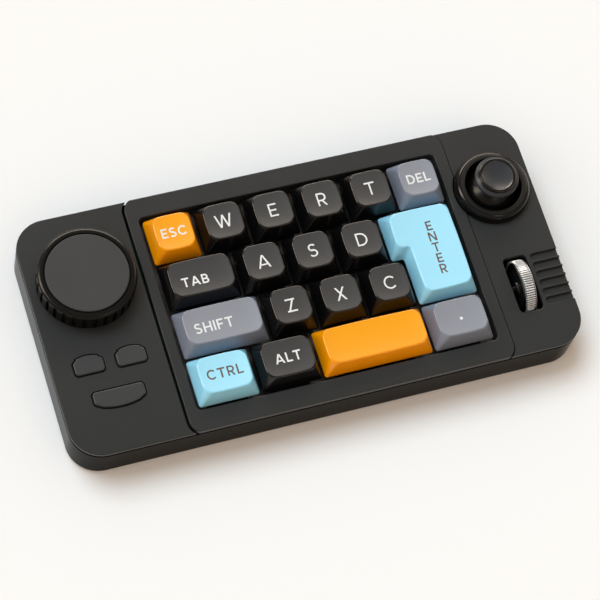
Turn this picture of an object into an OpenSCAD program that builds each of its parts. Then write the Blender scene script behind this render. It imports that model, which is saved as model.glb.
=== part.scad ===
// Macro keypad with a dial, three push buttons, nineteen keys, a joystick and a scroll wheel.
// Origin: middle of the footprint, on the surface it stands on. +X right, +Y to the rear, +Z up.

/* [Body] */
// Width of the case to the left of the centre frame
left_w = 42.5; // [40:0.5:60]
// Depth of the centre frame in front of the well and behind it
rim_end = 7.8; // [7.4:0.1:14]
// Corner radius of the case in plan
corner_r = 12; // [8:0.5:16]
// Height of the covers' underside above the switch plate
cover_h = 5; // [4.6:0.1:5.8]
// Thickness of the side panels
panel_t = 1.8; // [1.4:0.1:2.2]
// How far the centre frame stands above the side panels
frame_rise = 0.8; // [0.4:0.1:1.4]
// Corner radius of the centre frame
frame_r = 5; // [3:0.5:7]
// Gap between the centre frame and the left panel
seam_left = 0.8; // [0.3:0.05:1]
// Gap between the centre frame and the right panel
seam_right = 0.4; // [0.2:0.05:0.6]
// Wall thickness of the bottom case
wall_t = 1.8; // [1.6:0.1:2.2]
// Floor thickness of the bottom case
floor_t = 2; // [1.8:0.1:2.4]
// Height of the shadow gap under the covers
gap_h = 0.5; // [0.3:0.1:0.8]
// Depth of the shadow gap
gap_d = 0.9; // [0.5:0.1:1]
// Height that the rubber feet lift the case
foot_h = 1; // [0.6:0.1:1.6]
// Diameter of a rubber foot
foot_d = 10; // [7:0.5:10.5]

/* [Keys] */
// Pitch of the key grid
unit = 19.05; // [18.9:0.05:19.2]
// Gap between the key grid and the edge of the well
well_gap = 0.8; // [0.6:0.1:1]
// Corner radius of the well
well_r = 2; // [1:0.25:2.5]
// Width of the frame between the well and the left panel
rim_left = 4; // [2.8:0.1:5]
// Width of the frame between the well and the right panel
rim_right = 4.6; // [4:0.1:6]
// Gap between neighbouring keycaps at the skirt
cap_gap = 0.95; // [0.7:0.05:1.2]
// Width of the top face of a one-unit keycap
cap_top_w = 14; // [13:0.25:15]
// Height of a keycap from skirt to top
cap_h = 7; // [6.6:0.1:9]
// Corner radius of a keycap's top face
cap_top_r = 3.6; // [2.5:0.1:4.5]
// Wall thickness of a keycap
cap_wall = 1.2; // [1:0.1:1.3]
// Travel of a key
key_travel = 4; // [3.2:0.1:4]

/* [Dial] */
// Dial axis, behind the middle of the case
dial_y = 18.9; // [17:0.25:21]
// Radius of the dial over its grip
dial_r = 18.2; // [17:0.1:18.6]
// Height of the dial's grip
dial_h = 8.1; // [7:0.1:10]
// Width of the grip round the inset cap
dial_rim = 3; // [2.6:0.1:5]
// Travel of the dial when it is pressed
dial_press = 0.5; // [0.3:0.05:0.5]
// Number of notches round the grip
dial_notches = 30; // [20:1:40]

/* [Buttons] */
// Axis of the left small button, in from the left side of the case
button_left_in = 13.7; // [12:0.1:14.5]
// Axis of the right small button, in from the left side of the case
button_right_in = 29.4; // [28:0.1:31]
// Axis of the long button, in from the left side of the case
button_long_in = 21.3; // [18:0.1:23]
// Middle of the small buttons, in front of the middle of the case
button_row = 12.2; // [11:0.1:14]
// Middle of the long button, in front of the middle of the case
button_long_row = 26.7; // [25:0.1:29]
// Size of a small button
button_size = [10.9, 7];
// Size of the long button
button_long_size = [19, 7];
// Gap round each button
button_gap = 0.5; // [0.3:0.05:0.6]
// How far the buttons stand above the panel
button_rise = 0.7; // [0.6:0.05:1.2]
// Travel of a button
button_travel = 0.5; // [0.25:0.05:0.6]

/* [Joystick] */
// Joystick axis, behind the middle of the case
stick_y = 20; // [18:0.25:22]
// Outer radius of the collar
collar_r = 14.6; // [13.5:0.1:16.5]
// Room between the collar and the right side of the case
collar_margin = 1.7; // [0.6:0.1:6]
// How far the collar reaches into the centre frame
collar_bite = 1.9; // [1.6:0.1:2.2]
// Height of the collar above the panel
collar_h = 4.2; // [3:0.1:4.6]
// Wall of the collar's spigot
spigot_t = 0.9; // [0.7:0.05:1.2]
// Radius of the thumb cap
thumb_r = 8.3; // [7.5:0.1:8.8]
// Height of the thumb cap's top above the panel
thumb_h = 12.1; // [11.8:0.1:13]
// Travel of the joystick when it is pressed
stick_press = 0.5; // [0.3:0.05:0.5]

/* [Wheel] */
// Wheel axis, in from the right side of the case
wheel_in = 17.2; // [16.5:0.1:18]
// Middle of the wheel, in front of the middle of the case
wheel_row = 19.8; // [19:0.1:21]
// Radius of the scroll wheel
wheel_r = 10.4; // [9.6:0.1:10.6]
// Width of the scroll wheel
wheel_w = 4.4; // [4:0.1:5.4]
// Depth of the wheel axis under the panel's top
wheel_sink = 4; // [3.6:0.1:4.6]
// Room in the slot on each side of the wheel
slot_side = 2.5; // [1.6:0.1:2.8]
// Room in the slot in front of the wheel and behind it
slot_end = 0.8; // [0.6:0.1:1.4]
// Number of grip flutes beside the wheel
flutes = 6; // [3:1:7]
// Distance from one flute to the next
flute_pitch = 3.62; // [3.2:0.02:4]
// Width of a flute
flute_w = 2.9; // [2:0.1:3]
// Depth of a flute
flute_depth = 1; // [0.5:0.05:1.2]
// Land between the wheel slot and the flutes
flute_land = 1.4; // [1:0.1:3]

/* [Inside] */
// Room under the main board
board_room = 2; // [1.8:0.1:2.2]
// Thickness of the main board
board_t = 1.6; // [1.2:0.1:1.6]
// Thickness of the switch plate
plate_t = 1.5; // [1.3:0.05:1.6]
// Diameter of the case screws' shank
screw_d = 2; // [1.8:0.05:2.1]
// USB socket, left of the middle of the case
usb_left = 22; // [16:0.5:30]

/* [Hidden] */

$fn = 64;

// Clearances: fit is a running fit or a seat, play is free room round a fixed piece.
fit = 0.05;
play = 0.2;
over = 0.1;

// Heights, from the surface up.
case_z0 = foot_h;
floor_top = case_z0 + floor_t;
board_z0 = floor_top + board_room;
board_top = board_z0 + board_t;
plate_top = board_top + 5;
plate_z0 = plate_top - plate_t;
panel_z0 = plate_top + cover_h;
panel_top = panel_z0 + panel_t;
frame_top = panel_top + frame_rise;

// Plan of the key field, its well and the centre frame.
field_cols = 6;
field_rows = 4;
well_w = field_cols * unit + 2 * well_gap;
well_d = field_rows * unit + 2 * well_gap;
well_wall = 1.6;
frame_w = rim_left + well_w + rim_right;
frame_tip = 0.5;

// Plan of the case: the right panel is as wide as the joystick's collar needs.
stick_in = collar_r + collar_margin;
right_w = stick_in + collar_r - collar_bite;
body_w = left_w + frame_w + right_w;
body_d = well_d + 2 * rim_end;
frame_left = left_w - body_w / 2;
frame_x = frame_left + frame_w / 2;
field_x = frame_left + rim_left + well_w / 2;

// Keys: middle along the row and row from the rear, in units, and width in units.
esc_at = [0.5, 0, 1];
w_at = [1.5, 0, 1];
e_at = [2.5, 0, 1];
r_at = [3.5, 0, 1];
t_at = [4.5, 0, 1];
del_at = [5.5, 0, 1];
tab_at = [0.75, 1, 1.5];
a_at = [2, 1, 1];
s_at = [3, 1, 1];
d_at = [4, 1, 1];
shift_at = [0.875, 2, 1.75];
z_at = [2.25, 2, 1];
x_at = [3.25, 2, 1];
c_at = [4.25, 2, 1];
ctrl_at = [0.625, 3, 1.25];
alt_at = [1.875, 3, 1.25];
space_at = [3.625, 3, 2.25];
dot_at = [5.375, 3, 1.25];
enter_at = [5.375, 1.5, 1.25];
// The enter key's rear half is wider by this much, in units, on its left.
enter_ear = 0.25;
KEYS = [
    esc_at, w_at, e_at, r_at, t_at, del_at, tab_at, a_at, s_at, d_at,
    shift_at, z_at, x_at, c_at, ctrl_at, alt_at, space_at, dot_at, enter_at,
];
function key_place(at) =
    [field_x + (at[0] - field_cols / 2) * unit, (field_rows / 2 - at[1] - 0.5) * unit];

// Key switch, all heights from the plate or the board.
switch_w = 13.9;
switch_hole = 14;
switch_flange = 15.6;
switch_flange_t = 1;
switch_head_w = 11.2;
switch_rise = 6.6;
switch_top = plate_top + switch_rise;
switch_roof = switch_top - 1.3;
switch_floor = board_top + 1;
slider_play = 0.4;
lip_play = 0.8;
lip_drop = 0.3;
pole_l = 3.4;
peg_floor = 0.8;
switch_peg_d = 3.9;
switch_peg_l = 3.2;
pole_d = 2.6;
pole_bore_d = 3;
slider = [7, 6];
slider_top = switch_top + 0.4;
slider_z0 = switch_floor + key_travel + 0.8;
slider_bore_w = 4.9;
slider_bore_h = key_travel + 2 * play;
slider_lip = 8.6;
slider_lip_t = 1.2;
cross_l = 4;
cross_t = 1.3;
spring_d = 4.5;
spring_wire = 0.45;
spring_coils = 11;
spring_h = slider_z0 + slider_bore_h - key_travel - 0.6 - switch_floor;

// Keycaps.
skirt_z = plate_top + 6;
cap_top = skirt_z + cap_h;
cap_edge = 0.3;
cap_base_r = 1.2;
cap_roof_t = 1.6;
cap_roof = cap_top - cap_roof_t;
cross_h = cap_roof - slider_top - 0.8;
cap_base_w = unit - cap_gap;
tube_d = 5.5;

// Stabilisers, along their own X, with the wire on their own -Y side.
stab_reach = 11.94;
stab_size = [6.6, 13];
stab_z0 = board_top + 0.6;
stab_top = slider_top - key_travel - play;
stab_slider = [4.4, 5.6];
wire_d = 1.3;
wire_y = 8.8;
wire_z = plate_top + 0.85;
wire_tilt = asin(key_travel / 2 / wire_y);
wire_arm = wire_y + 0.5;
hook_z = wire_z + key_travel / 2;
hook_half = 1.5;
hook_foot = 2.3;
hook_play = 0.6;
wire_reach = 1.3;
slot_play = 0.9;
slot_low = 2.4;
slot_high = 2.6;
clip_foot = 1.4;
stab_play = 0.5;
stab_floor = 0.4;
clip_l = 2.1;
clip_top = wire_z + wire_d / 2 + 0.25;

// Screws, posts and bosses.
head_d = 3.8;
head_h = 1.4;
head_sink = 1.6;
post_d = 5;
post_top = board_top + 4.4;
slim_post_d = 4.2;
shoulder_d = 7;
side_post_in = 7.5;
side_post_end = 10.2;
side_post_y = body_d / 2 - side_post_end;
inner_post_gap = 5;
inner_posts = [frame_left - inner_post_gap, frame_left + frame_w + inner_post_gap];
frame_post_gap = 0.3;
frame_post_in = 7;
frame_post_y = body_d / 2 - wall_t - frame_post_gap - slim_post_d / 2;
SIDE_POSTS = [
    for (sy = [-1, 1], x = [side_post_in - body_w / 2, inner_posts[0], inner_posts[1],
        body_w / 2 - side_post_in]) [x, sy * side_post_y],
];
FRAME_POSTS = [
    for (sx = [-1, 0, 1], sy = [-1, 1]) [frame_x + sx * (frame_w / 2 - frame_post_in), sy * frame_post_y],
];
boss_roof = 1.2;
case_screw_l = panel_z0 - case_z0 - head_sink - boss_roof;
spacer_d = 4.4;
SPACERS = [for (u = [1, 3, 5], sy = [-1, 1]) [field_x + (u - field_cols / 2) * unit, sy * unit]];
plate_head_d = 3.2;
plate_head_h = 1.1;
foot_sink = 0.6;
foot_in = [16, 9];
foot_x = body_w / 2 - foot_in[0];
foot_y = body_d / 2 - foot_in[1];

// Main board.
board_room_side = 0.7;
board_w = body_w - 2 * wall_t - 2 * board_room_side;
board_d = 2 * frame_post_y - slim_post_d - 4 * play;
board_r = 8;
chip = [5, 5, 0.9];
chip_off = 9;
usb_size = [8.9, 7.3, 3.2];
usb_tab_w = 12;
usb_inset = 0.5;
usb_r = 1.5;
usb_shell = 0.3;
usb_back = 1;
usb_tongue = [6.7, 0.7];
usb_y = body_d / 2 - usb_inset - usb_size[1] / 2;
usb_tab_y = body_d / 2 - wall_t - play;
plate_side = 2;
plate_w = well_w + 2 * plate_side;
plate_d = 2 * frame_post_y - slim_post_d - 2 * play;

// Dial and its encoder.
dial_x = (left_w - body_w) / 2;
dial_cap_r = dial_r - dial_rim;
dial_gap = dial_press + play + over;
dial_z0 = panel_top + dial_gap;
dial_z1 = dial_z0 + dial_h;
dial_cap_t = 1.2;
dial_cap_rise = 0.2;
dial_groove = 0.25;
dial_hub_d = 10;
dial_wall = 1.6;
dial_notch_d = 1.8;
dial_notch_deep = 0.7;
dial_shoulder = 1.5;
dial_land = 1.2;
dial_web = 1.8;
shaft_roof = 1;
shaft_d = 6;
shaft_flat = 1.5;
encoder_size = [12.4, 13.2, 6.4];
encoder_top = board_top + encoder_size[2];
bushing_d = 7;
encoder_wall = 1;
nut_w = 10;
nut_h = 1.8;
rotor_d = 9.6;
rotor_h = 1.6;
rotor_z0 = board_top + 2;
shaft_z0 = board_top + 1.7;

// Buttons and their switches.
button_left_at = [button_left_in - body_w / 2, -button_row];
button_right_at = [button_right_in - body_w / 2, -button_row];
button_long_at = [button_long_in - body_w / 2, -button_long_row];
BUTTONS = [button_left_at, button_right_at, button_long_at];
small_arch_r = 11;
long_arch_r = 25;
button_corner = 1.3;
button_lip = 0.8;
button_lip_t = 1;
button_slack = 0.15;
button_foot = 7.5;
tact_w = 6;
tact_h = 3.6;
tact_plunger_d = 3.4;
tact_plunger_z0 = board_top + 2.6;
button_z1 = panel_top + button_rise;
button_lip_top = panel_z0 - button_slack;
button_z0 = button_lip_top - button_lip_t;

// Joystick.
stick_x = body_w / 2 - stick_in;
pivot_z = board_top + 4.9;
collar_land = 0.6;
collar_spigot_r = collar_r - collar_bite - seam_right - collar_land;
collar_bore_r = collar_spigot_r - spigot_t;
collar_rim_w = 1.6;
collar_edge = 0.6;
collar_break = 0.2;
dome_r = collar_bore_r + 2 * play;
dome_t = 1;
dome_step = 0.4;
dome_step_r = 8.8;
dome_z0 = pivot_z + 3;
stick_d = 4;
neck_r = 3.2;
thumb_top = panel_top + thumb_h;
thumb_t = 4.5;
thumb_bore = 2.3;
thumb_dish_r = 5.9;
thumb_dish = 0.8;
thumb_flare = 1.6;
thumb_band = 2.8;
thumb_bevel = [0.6, 0.8];
thumb_rim = 0.9;
thumb_edge = [0.3, 0.2];
dish_steps = 4;
gimbal_box = 13.6;
gimbal_box_h = 6.8;
gimbal_room = 11.8;
gimbal_floor = 1;
gimbal_w = 10;
gimbal_hole = 7;
gimbal_t = 2.4;
gimbal_pin_d = 1.6;
hub_w = 5.6;
hub_t = 3;
sensor = [2.6, 7, 3];
click_d = 4;
click_h = 0.4;
click_z0 = board_top + gimbal_floor;
stick_tip_r = pivot_z - click_z0 - click_h - stick_press - over;

// Wheel.
wheel_x = body_w / 2 - wheel_in;
wheel_y = -wheel_row;
wheel_z = panel_top - wheel_sink;
wheel_chamfer = 0.7;
wheel_pocket = 1.3;
slot_w = wheel_w + 2 * slot_side;
slot_l = 2 * (wheel_r + slot_end);
flute_l = wheel_in - slot_w / 2 - flute_land;
axle_d = 2.5;
bracket_arm = 1.6;
bracket_gap = 0.9;
bracket_span = slot_w + 2 * bracket_gap;
bracket_l = slot_l + 3;
bracket_base = 1.4;
bracket_arm_w = 6;
bracket_window = [slot_w + 4 * play, slot_l + 5 * play];
bracket_top = wheel_z + 1.9;
axle_end = 1.2;
sensor_bore = 0.5;
sensor_block = [3.2, 8];
slot_r = 1.8;
flute_y = -19.5;

// Rectangle with round corners, about the origin.
module rrect(size, r) {
    square([size[0] - 2 * r, size[1]], center = true);
    square([size[0], size[1] - 2 * r], center = true);
    for (sx = [-1, 1], sy = [-1, 1])
        translate([sx * (size[0] / 2 - r), sy * (size[1] / 2 - r)]) circle(r);
}

// Slab of a flat outline between two heights.
module slab(z0, z1) {
    translate([0, 0, z0]) linear_extrude(z1 - z0) children();
}

// Round bar or bore between two heights.
module pillar(d, z0, z1) {
    translate([0, 0, z0]) cylinder(d = d, h = z1 - z0);
}

// Box about its own axis between two heights.
module block(size, z0, z1) {
    translate([-size[0] / 2, -size[1] / 2, z0]) cube([size[0], size[1], z1 - z0]);
}

// Its children at each of a list of places.
module at_each(places) {
    for (p = places) translate([p[0], p[1], 0]) children();
}

module at_keys() {
    for (at = KEYS) translate(key_place(at)) children();
}

// A stabiliser's own frame under a key, turned about the key's axis.
module at_stabiliser(at, turn) {
    translate(key_place(at)) rotate(turn) children();
}

// Outline of the case, drawn in or out by a distance.
module body_outline(grow = 0) {
    rrect([body_w + 2 * grow, body_d + 2 * grow], corner_r + grow);
}

// Outline of the centre frame before it is cut to the case, drawn out by a distance.
module frame_outline(grow = 0) {
    translate([frame_x, 0])
        rrect([frame_w + 2 * grow, body_d + 2 * frame_tip + 2 * grow], frame_r + grow);
}

// Half of the case outline on one side of the centre frame.
module side_outline(side) {
    difference() {
        intersection() {
            body_outline();
            translate([frame_x + side * body_w / 2, 0]) square([body_w, 2 * body_d], center = true);
        }
        frame_outline(side < 0 ? seam_left : seam_right);
    }
}

module well_outline(grow = 0) {
    translate([field_x, 0]) rrect([well_w + 2 * grow, well_d + 2 * grow], well_r + grow);
}

// Boss under a cover, with a pilot bore for a case screw.
module boss(d) {
    pillar(d, post_top, panel_z0 + over);
}

module boss_bore() {
    pillar(screw_d + fit, post_top - over, case_z0 + head_sink + case_screw_l + play);
}

// Bottom case: floor, walls with a lip for the covers, posts, feet recesses, USB opening.
module bottom_case() {
    color([0.17, 0.17, 0.17]) difference() {
        union() {
            slab(case_z0, panel_z0 - gap_h) body_outline();
            slab(panel_z0 - gap_h - over, panel_z0) body_outline(-gap_d);
        }
        slab(floor_top, panel_z0 + over) body_outline(-wall_t);
        at_each([for (sx = [-1, 1], sy = [-1, 1]) [sx * foot_x, sy * foot_y]])
            pillar(foot_d + play, case_z0 - over, case_z0 + foot_sink);
        case_screw_cuts();
        at_each(SPACERS) pillar(screw_d + fit, floor_top - 1, floor_top + over);
        translate([wheel_x, wheel_y, wheel_z]) rotate([0, 90, 0])
            cylinder(r = wheel_r + wheel_pocket, h = wheel_w + 2 * wheel_pocket, center = true);
        translate([-usb_left, body_d / 2, board_top + usb_size[2] / 2]) rotate([90, 0, 0])
            slab(-over, wall_t + over)
                rrect([usb_size[0] + 3 * play, usb_size[2] + 3 * play], usb_r + play);
    }
    color([0.17, 0.17, 0.17]) difference() {
        union() {
            at_each(SIDE_POSTS) {
                pillar(shoulder_d, floor_top - over, board_z0);
                pillar(post_d, board_z0 - over, post_top);
            }
            at_each(FRAME_POSTS) pillar(slim_post_d, floor_top - over, post_top);
            at_each(SPACERS) pillar(post_d, floor_top - over, board_z0);
        }
        case_screw_cuts();
        at_each(SPACERS) pillar(screw_d + fit, floor_top - 1, board_z0 + over);
    }
}

// Clearance bores and head recesses of the case screws.
module case_screw_cuts() {
    at_each(concat(SIDE_POSTS, FRAME_POSTS)) {
        pillar(screw_d + 2 * play, case_z0 - over, post_top + over);
        pillar(head_d + 2 * play, case_z0 - over, case_z0 + head_sink);
    }
}

// Left cover, with the encoder's hole and the button openings.
module left_panel() {
    color([0.25, 0.25, 0.25]) difference() {
        union() {
            slab(panel_z0, panel_top) side_outline(-1);
            at_each([for (p = SIDE_POSTS) if (p[0] < 0) p]) boss(post_d);
        }
        translate([dial_x, dial_y]) pillar(bushing_d + 2 * play, panel_z0 - over, panel_top + over);
        slab(panel_z0 - over, panel_top + over) {
            translate(button_left_at) small_button_outline(button_gap);
            translate(button_right_at) small_button_outline(button_gap);
            translate(button_long_at) long_button_outline(button_gap);
        }
        at_each([for (p = SIDE_POSTS) if (p[0] < 0) p]) boss_bore();
    }
}

// Right cover, with the joystick's hole, the wheel slot and the flutes.
module right_panel() {
    color([0.25, 0.25, 0.25]) difference() {
        union() {
            slab(panel_z0, panel_top) side_outline(1);
            at_each([for (p = SIDE_POSTS) if (p[0] > 0) p]) boss(post_d);
        }
        translate([stick_x, stick_y])
            pillar(2 * collar_spigot_r + 2 * fit, panel_z0 - over, panel_top + over);
        slab(panel_z0 - over, panel_top + over)
            translate([wheel_x, wheel_y]) rrect([slot_w, slot_l], slot_r);
        slab(panel_top - flute_depth, panel_top + over) for (i = [0 : flutes - 1])
            translate([body_w / 2 - flute_l, flute_y + (i - (flutes - 1) / 2) * flute_pitch]) {
                translate([flute_w / 2, 0]) circle(d = flute_w);
                translate([flute_w / 2, -flute_w / 2]) square([flute_l, flute_w]);
            }
        at_each([for (p = SIDE_POSTS) if (p[0] > 0) p]) boss_bore();
    }
}

// Centre frame round the key well, notched for the joystick's collar.
module centre_frame() {
    color([0.25, 0.25, 0.25]) difference() {
        union() {
            slab(panel_z0, frame_top) intersection() {
                body_outline();
                frame_outline();
            }
            slab(plate_top, panel_z0 + over) well_outline(well_wall);
            at_each(FRAME_POSTS) boss(slim_post_d);
        }
        slab(plate_top - over, frame_top + over) well_outline();
        translate([stick_x, stick_y])
            pillar(2 * (collar_r + play), panel_z0 - over, frame_top + over);
        at_each(FRAME_POSTS) boss_bore();
    }
}

// Steel plate that the switches clip into.
module switch_plate() {
    color([0.55, 0.56, 0.58]) difference() {
        slab(plate_z0, plate_top) translate([field_x, 0]) rrect([plate_w, plate_d], well_r);
        at_keys() block([switch_hole, switch_hole], plate_z0 - over, plate_top + over);
        at_each(SPACERS) pillar(screw_d + play, plate_z0 - over, plate_top + over);
        at_stabiliser(space_at, 0) stabiliser_cuts();
        at_stabiliser(enter_at, 90) stabiliser_cuts();
    }
}

// Plate openings for a stabiliser's two housings and wire ends.
module stabiliser_cuts() {
    back = stab_size[1] / 2 + play;
    front = wire_y + wire_reach + over;
    for (s = [-1, 1]) translate([s * stab_reach, (back - front) / 2])
        block([stab_size[0] + 2 * play, back + front], plate_z0 - over, plate_top + over);
}

module main_board() {
    color([0.08, 0.28, 0.16]) difference() {
        slab(board_z0, board_top) {
            rrect([board_w, board_d], board_r);
            translate([-usb_left - usb_tab_w / 2, 0]) square([usb_tab_w, usb_tab_y]);
        }
        at_each(SIDE_POSTS) pillar(post_d + 2 * play, board_z0 - over, board_top + over);
        at_each(SPACERS) pillar(screw_d + play, board_z0 - over, board_top + over);
        at_keys() pillar(switch_peg_d + 2 * fit, board_z0 - over, board_top + over);
        translate([wheel_x, wheel_y])
            block(bracket_window, board_z0 - over, board_top + over);
    }
}

module controller_chip() {
    color([0.1, 0.1, 0.11]) translate([dial_x + chip_off, -side_post_y])
        block(chip, board_top, board_top + chip[2]);
}

// USB socket: metal shell with its tongue.
module usb_socket() {
    color([0.7, 0.71, 0.72]) translate([-usb_left, usb_y, board_top + usb_size[2] / 2])
        rotate([90, 0, 0]) difference() {
            slab(-usb_size[1] / 2, usb_size[1] / 2) rrect([usb_size[0], usb_size[2]], usb_r);
            slab(-usb_size[1] / 2 - over, usb_size[1] / 2 - usb_back)
                rrect([usb_size[0] - 2 * usb_shell, usb_size[2] - 2 * usb_shell], usb_r - usb_shell);
        }
    color([0.1, 0.1, 0.1]) translate([-usb_left, usb_y, board_top + usb_size[2] / 2])
        rotate([90, 0, 0]) slab(usb_back - usb_size[1] / 2, usb_size[1] / 2 - usb_back + over)
            square(usb_tongue, center = true);
}

module rubber_feet() {
    color([0.12, 0.12, 0.12]) at_each([for (sx = [-1, 1], sy = [-1, 1]) [sx * foot_x, sy * foot_y]])
        pillar(foot_d, 0, case_z0 + foot_sink);
}

// Screw standing on its head at a height, with a shank and a round socket in the head.
module screw(shank_d, cap_d, cap_height, length, z0) {
    difference() {
        union() {
            pillar(cap_d, z0 - cap_height, z0);
            pillar(shank_d, z0 - over, z0 + length);
        }
        pillar(shank_d * 0.6, z0 - cap_height - over, z0 - cap_height / 2);
    }
}

module case_screws() {
    color([0.2, 0.2, 0.21]) at_each(concat(SIDE_POSTS, FRAME_POSTS))
        screw(screw_d, head_d, head_h, case_screw_l, case_z0 + head_sink);
}

module plate_screws() {
    color([0.3, 0.3, 0.31]) at_each(SPACERS) mirror([0, 0, 1])
        screw(screw_d, plate_head_d, plate_head_h, plate_top - floor_top, -plate_top);
}

module plate_spacers() {
    color([0.75, 0.62, 0.3]) at_each(SPACERS) difference() {
        pillar(spacer_d, board_top, plate_z0);
        pillar(screw_d + play, board_top - over, plate_z0 + over);
    }
}

// Switch housings: clipped in the plate, pegged in the board, open at the top for the stem.
module switch_housings() {
    color([0.13, 0.13, 0.14]) at_keys() difference() {
        union() {
            block([switch_w, switch_w], board_top, plate_top);
            block([switch_flange, switch_flange], plate_top, plate_top + switch_flange_t);
            block([switch_head_w, switch_head_w], plate_top, switch_top);
            pillar(switch_peg_d, board_top - switch_peg_l, board_top + over);
        }
        block([slider_lip + lip_play, slider_lip + lip_play], switch_floor, switch_roof);
        block(slider + [slider_play, slider_play], switch_roof - over, switch_top + over);
        pillar(pole_bore_d, board_top - switch_peg_l + peg_floor, switch_floor + over);
    }
}

// Springs of the switches, at the length they have when the key is down.
module switch_springs() {
    color([0.8, 0.78, 0.7]) at_keys() translate([0, 0, switch_floor]) rotate_extrude()
        for (i = [0 : spring_coils - 1])
            translate([(spring_d - spring_wire) / 2,
                spring_wire / 2 + i * (spring_h - spring_wire) / (spring_coils - 1)])
                circle(d = spring_wire, $fn = 24);
}

// Moving stem of a switch: slider with its spring bore, guide pole and cross.
module switch_stem() {
    lip_top = switch_roof - lip_drop;
    color([0.55, 0.2, 0.15]) {
        difference() {
            union() {
                block(slider, slider_z0, slider_top);
                block([slider_lip, slider_lip], lip_top - slider_lip_t, lip_top);
            }
            block([slider_bore_w, slider_bore_w], slider_z0 - over, slider_z0 + slider_bore_h);
        }
        pillar(pole_d, slider_z0 - pole_l, slider_z0 + slider_bore_h + over);
        stem_cross();
    }
}

module stem_cross(grow = 0) {
    block([cross_l + grow, cross_t + grow], slider_top - over, slider_top + cross_h + grow);
    block([cross_t + grow, cross_l + grow], slider_top - over, slider_top + cross_h + grow);
}

// Tapered block with round corners: base and top outline sizes between two heights.
module taper(base, base_r, top, top_r, z0, z1) {
    hull() {
        slab(z0, z0 + cap_edge) rrect(base, base_r, $fn = 32);
        slab(z1 - cap_edge, z1) rrect(top, top_r, $fn = 32);
    }
}

// Outside of a keycap for a size in units.
module cap_outside(units) {
    size = [units[0] * unit - cap_gap, units[1] * unit - cap_gap];
    inset = cap_base_w - cap_top_w;
    taper(size, cap_base_r, size - [inset, inset], cap_top_r, skirt_z, cap_top);
}

// Hollow under a keycap for a size in units, drawn in all round where another hollow runs into it.
module cap_inside(units, less = 0) {
    wall = cap_gap + 2 * cap_wall + 2 * less;
    size = [units[0] * unit - wall, units[1] * unit - wall];
    roof = cap_roof - less;
    inset = (cap_base_w - cap_top_w) * (roof - skirt_z) / cap_h;
    hull() {
        block(size, skirt_z - over - less, skirt_z);
        block(size - [inset, inset], roof - over, roof);
    }
}

// Post under a keycap that takes a switch's cross.
module cap_tube() {
    difference() {
        pillar(tube_d, slider_top + fit, cap_roof + over);
        stem_cross(2 * fit);
    }
}

// One-row keycap with its switch stem.
module key(at) {
    translate(key_place(at)) {
        difference() {
            cap_outside([at[2], 1]);
            cap_inside([at[2], 1]);
        }
        cap_tube();
        switch_stem();
    }
}

module black_key(at) {
    color([0.16, 0.16, 0.16]) key(at);
}

module grey_key(at) {
    color([0.58, 0.59, 0.63]) key(at);
}

module orange_key(at) {
    color([1, 0.62, 0.14]) key(at);
}

module blue_key(at) {
    color([0.66, 0.9, 1]) key(at);
}

// Sliders and posts of a key's stabiliser.
module stabiliser_sliders() {
    for (s = [-1, 1]) translate([s * stab_reach, 0]) {
        cap_tube();
        difference() {
            union() {
                block(stab_slider, hook_z - hook_foot, slider_top);
                stem_cross();
            }
            translate([0, (wire_reach - stab_slider[1] / 2) / 2 - over])
                block([wire_d + hook_play, stab_slider[1] / 2 + wire_reach],
                    hook_z - hook_half, hook_z + hook_half);
        }
    }
}

module stabiliser_pair() {
    for (s = [-1, 1]) translate([s * stab_reach, 0]) difference() {
        union() {
            block(stab_size, stab_z0, stab_top);
            translate([-s * (stab_size[0] - clip_l) / 2, over - (stab_size[1] / 2 + wire_y + wire_reach) / 2])
                block([clip_l, wire_y + wire_reach - stab_size[1] / 2 + 2 * over],
                    wire_z - clip_foot, clip_top);
        }
        block(stab_slider + [stab_play, stab_play], stab_z0 + stab_floor, stab_top + over);
        translate([0, -stab_size[1] / 2])
            block([wire_d + slot_play, stab_size[1]], wire_z - slot_low, wire_z + slot_high);
        translate([0, -wire_y, wire_z]) rotate([0, 90, 0])
            cylinder(d = wire_d + 2 * fit, h = 2 * stab_size[0], center = true);
    }
}

module stabiliser_housings() {
    color([0.2, 0.2, 0.2]) {
        at_stabiliser(space_at, 0) stabiliser_pair();
        at_stabiliser(enter_at, 90) stabiliser_pair();
    }
}

// Bent wire of a stabiliser: a bar with an arm to each slider.
module stabiliser_wire() {
    color([0.75, 0.76, 0.78]) translate([0, -wire_y, wire_z]) {
        rotate([0, 90, 0]) cylinder(d = wire_d, h = 2 * stab_reach, center = true);
        for (s = [-1, 1]) translate([s * stab_reach, 0, 0]) {
            sphere(d = wire_d);
            rotate([wire_tilt - 90, 0, 0]) cylinder(d = wire_d, h = wire_arm);
        }
    }
}

module space_stabiliser_wire() {
    at_stabiliser(space_at, 0) stabiliser_wire();
}

module enter_stabiliser_wire() {
    at_stabiliser(enter_at, 90) stabiliser_wire();
}

module key_esc() { orange_key(esc_at); }
module key_w() { black_key(w_at); }
module key_e() { black_key(e_at); }
module key_r() { black_key(r_at); }
module key_t() { black_key(t_at); }
module key_del() { grey_key(del_at); }
module key_tab() { black_key(tab_at); }
module key_a() { black_key(a_at); }
module key_s() { black_key(s_at); }
module key_d() { black_key(d_at); }
module key_shift() { grey_key(shift_at); }
module key_z() { black_key(z_at); }
module key_x() { black_key(x_at); }
module key_c() { black_key(c_at); }
module key_ctrl() { blue_key(ctrl_at); }
module key_alt() { black_key(alt_at); }
module key_dot() { grey_key(dot_at); }

module key_space() {
    orange_key(space_at);
    color([0.2, 0.2, 0.2]) at_stabiliser(space_at, 0) stabiliser_sliders();
}

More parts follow.
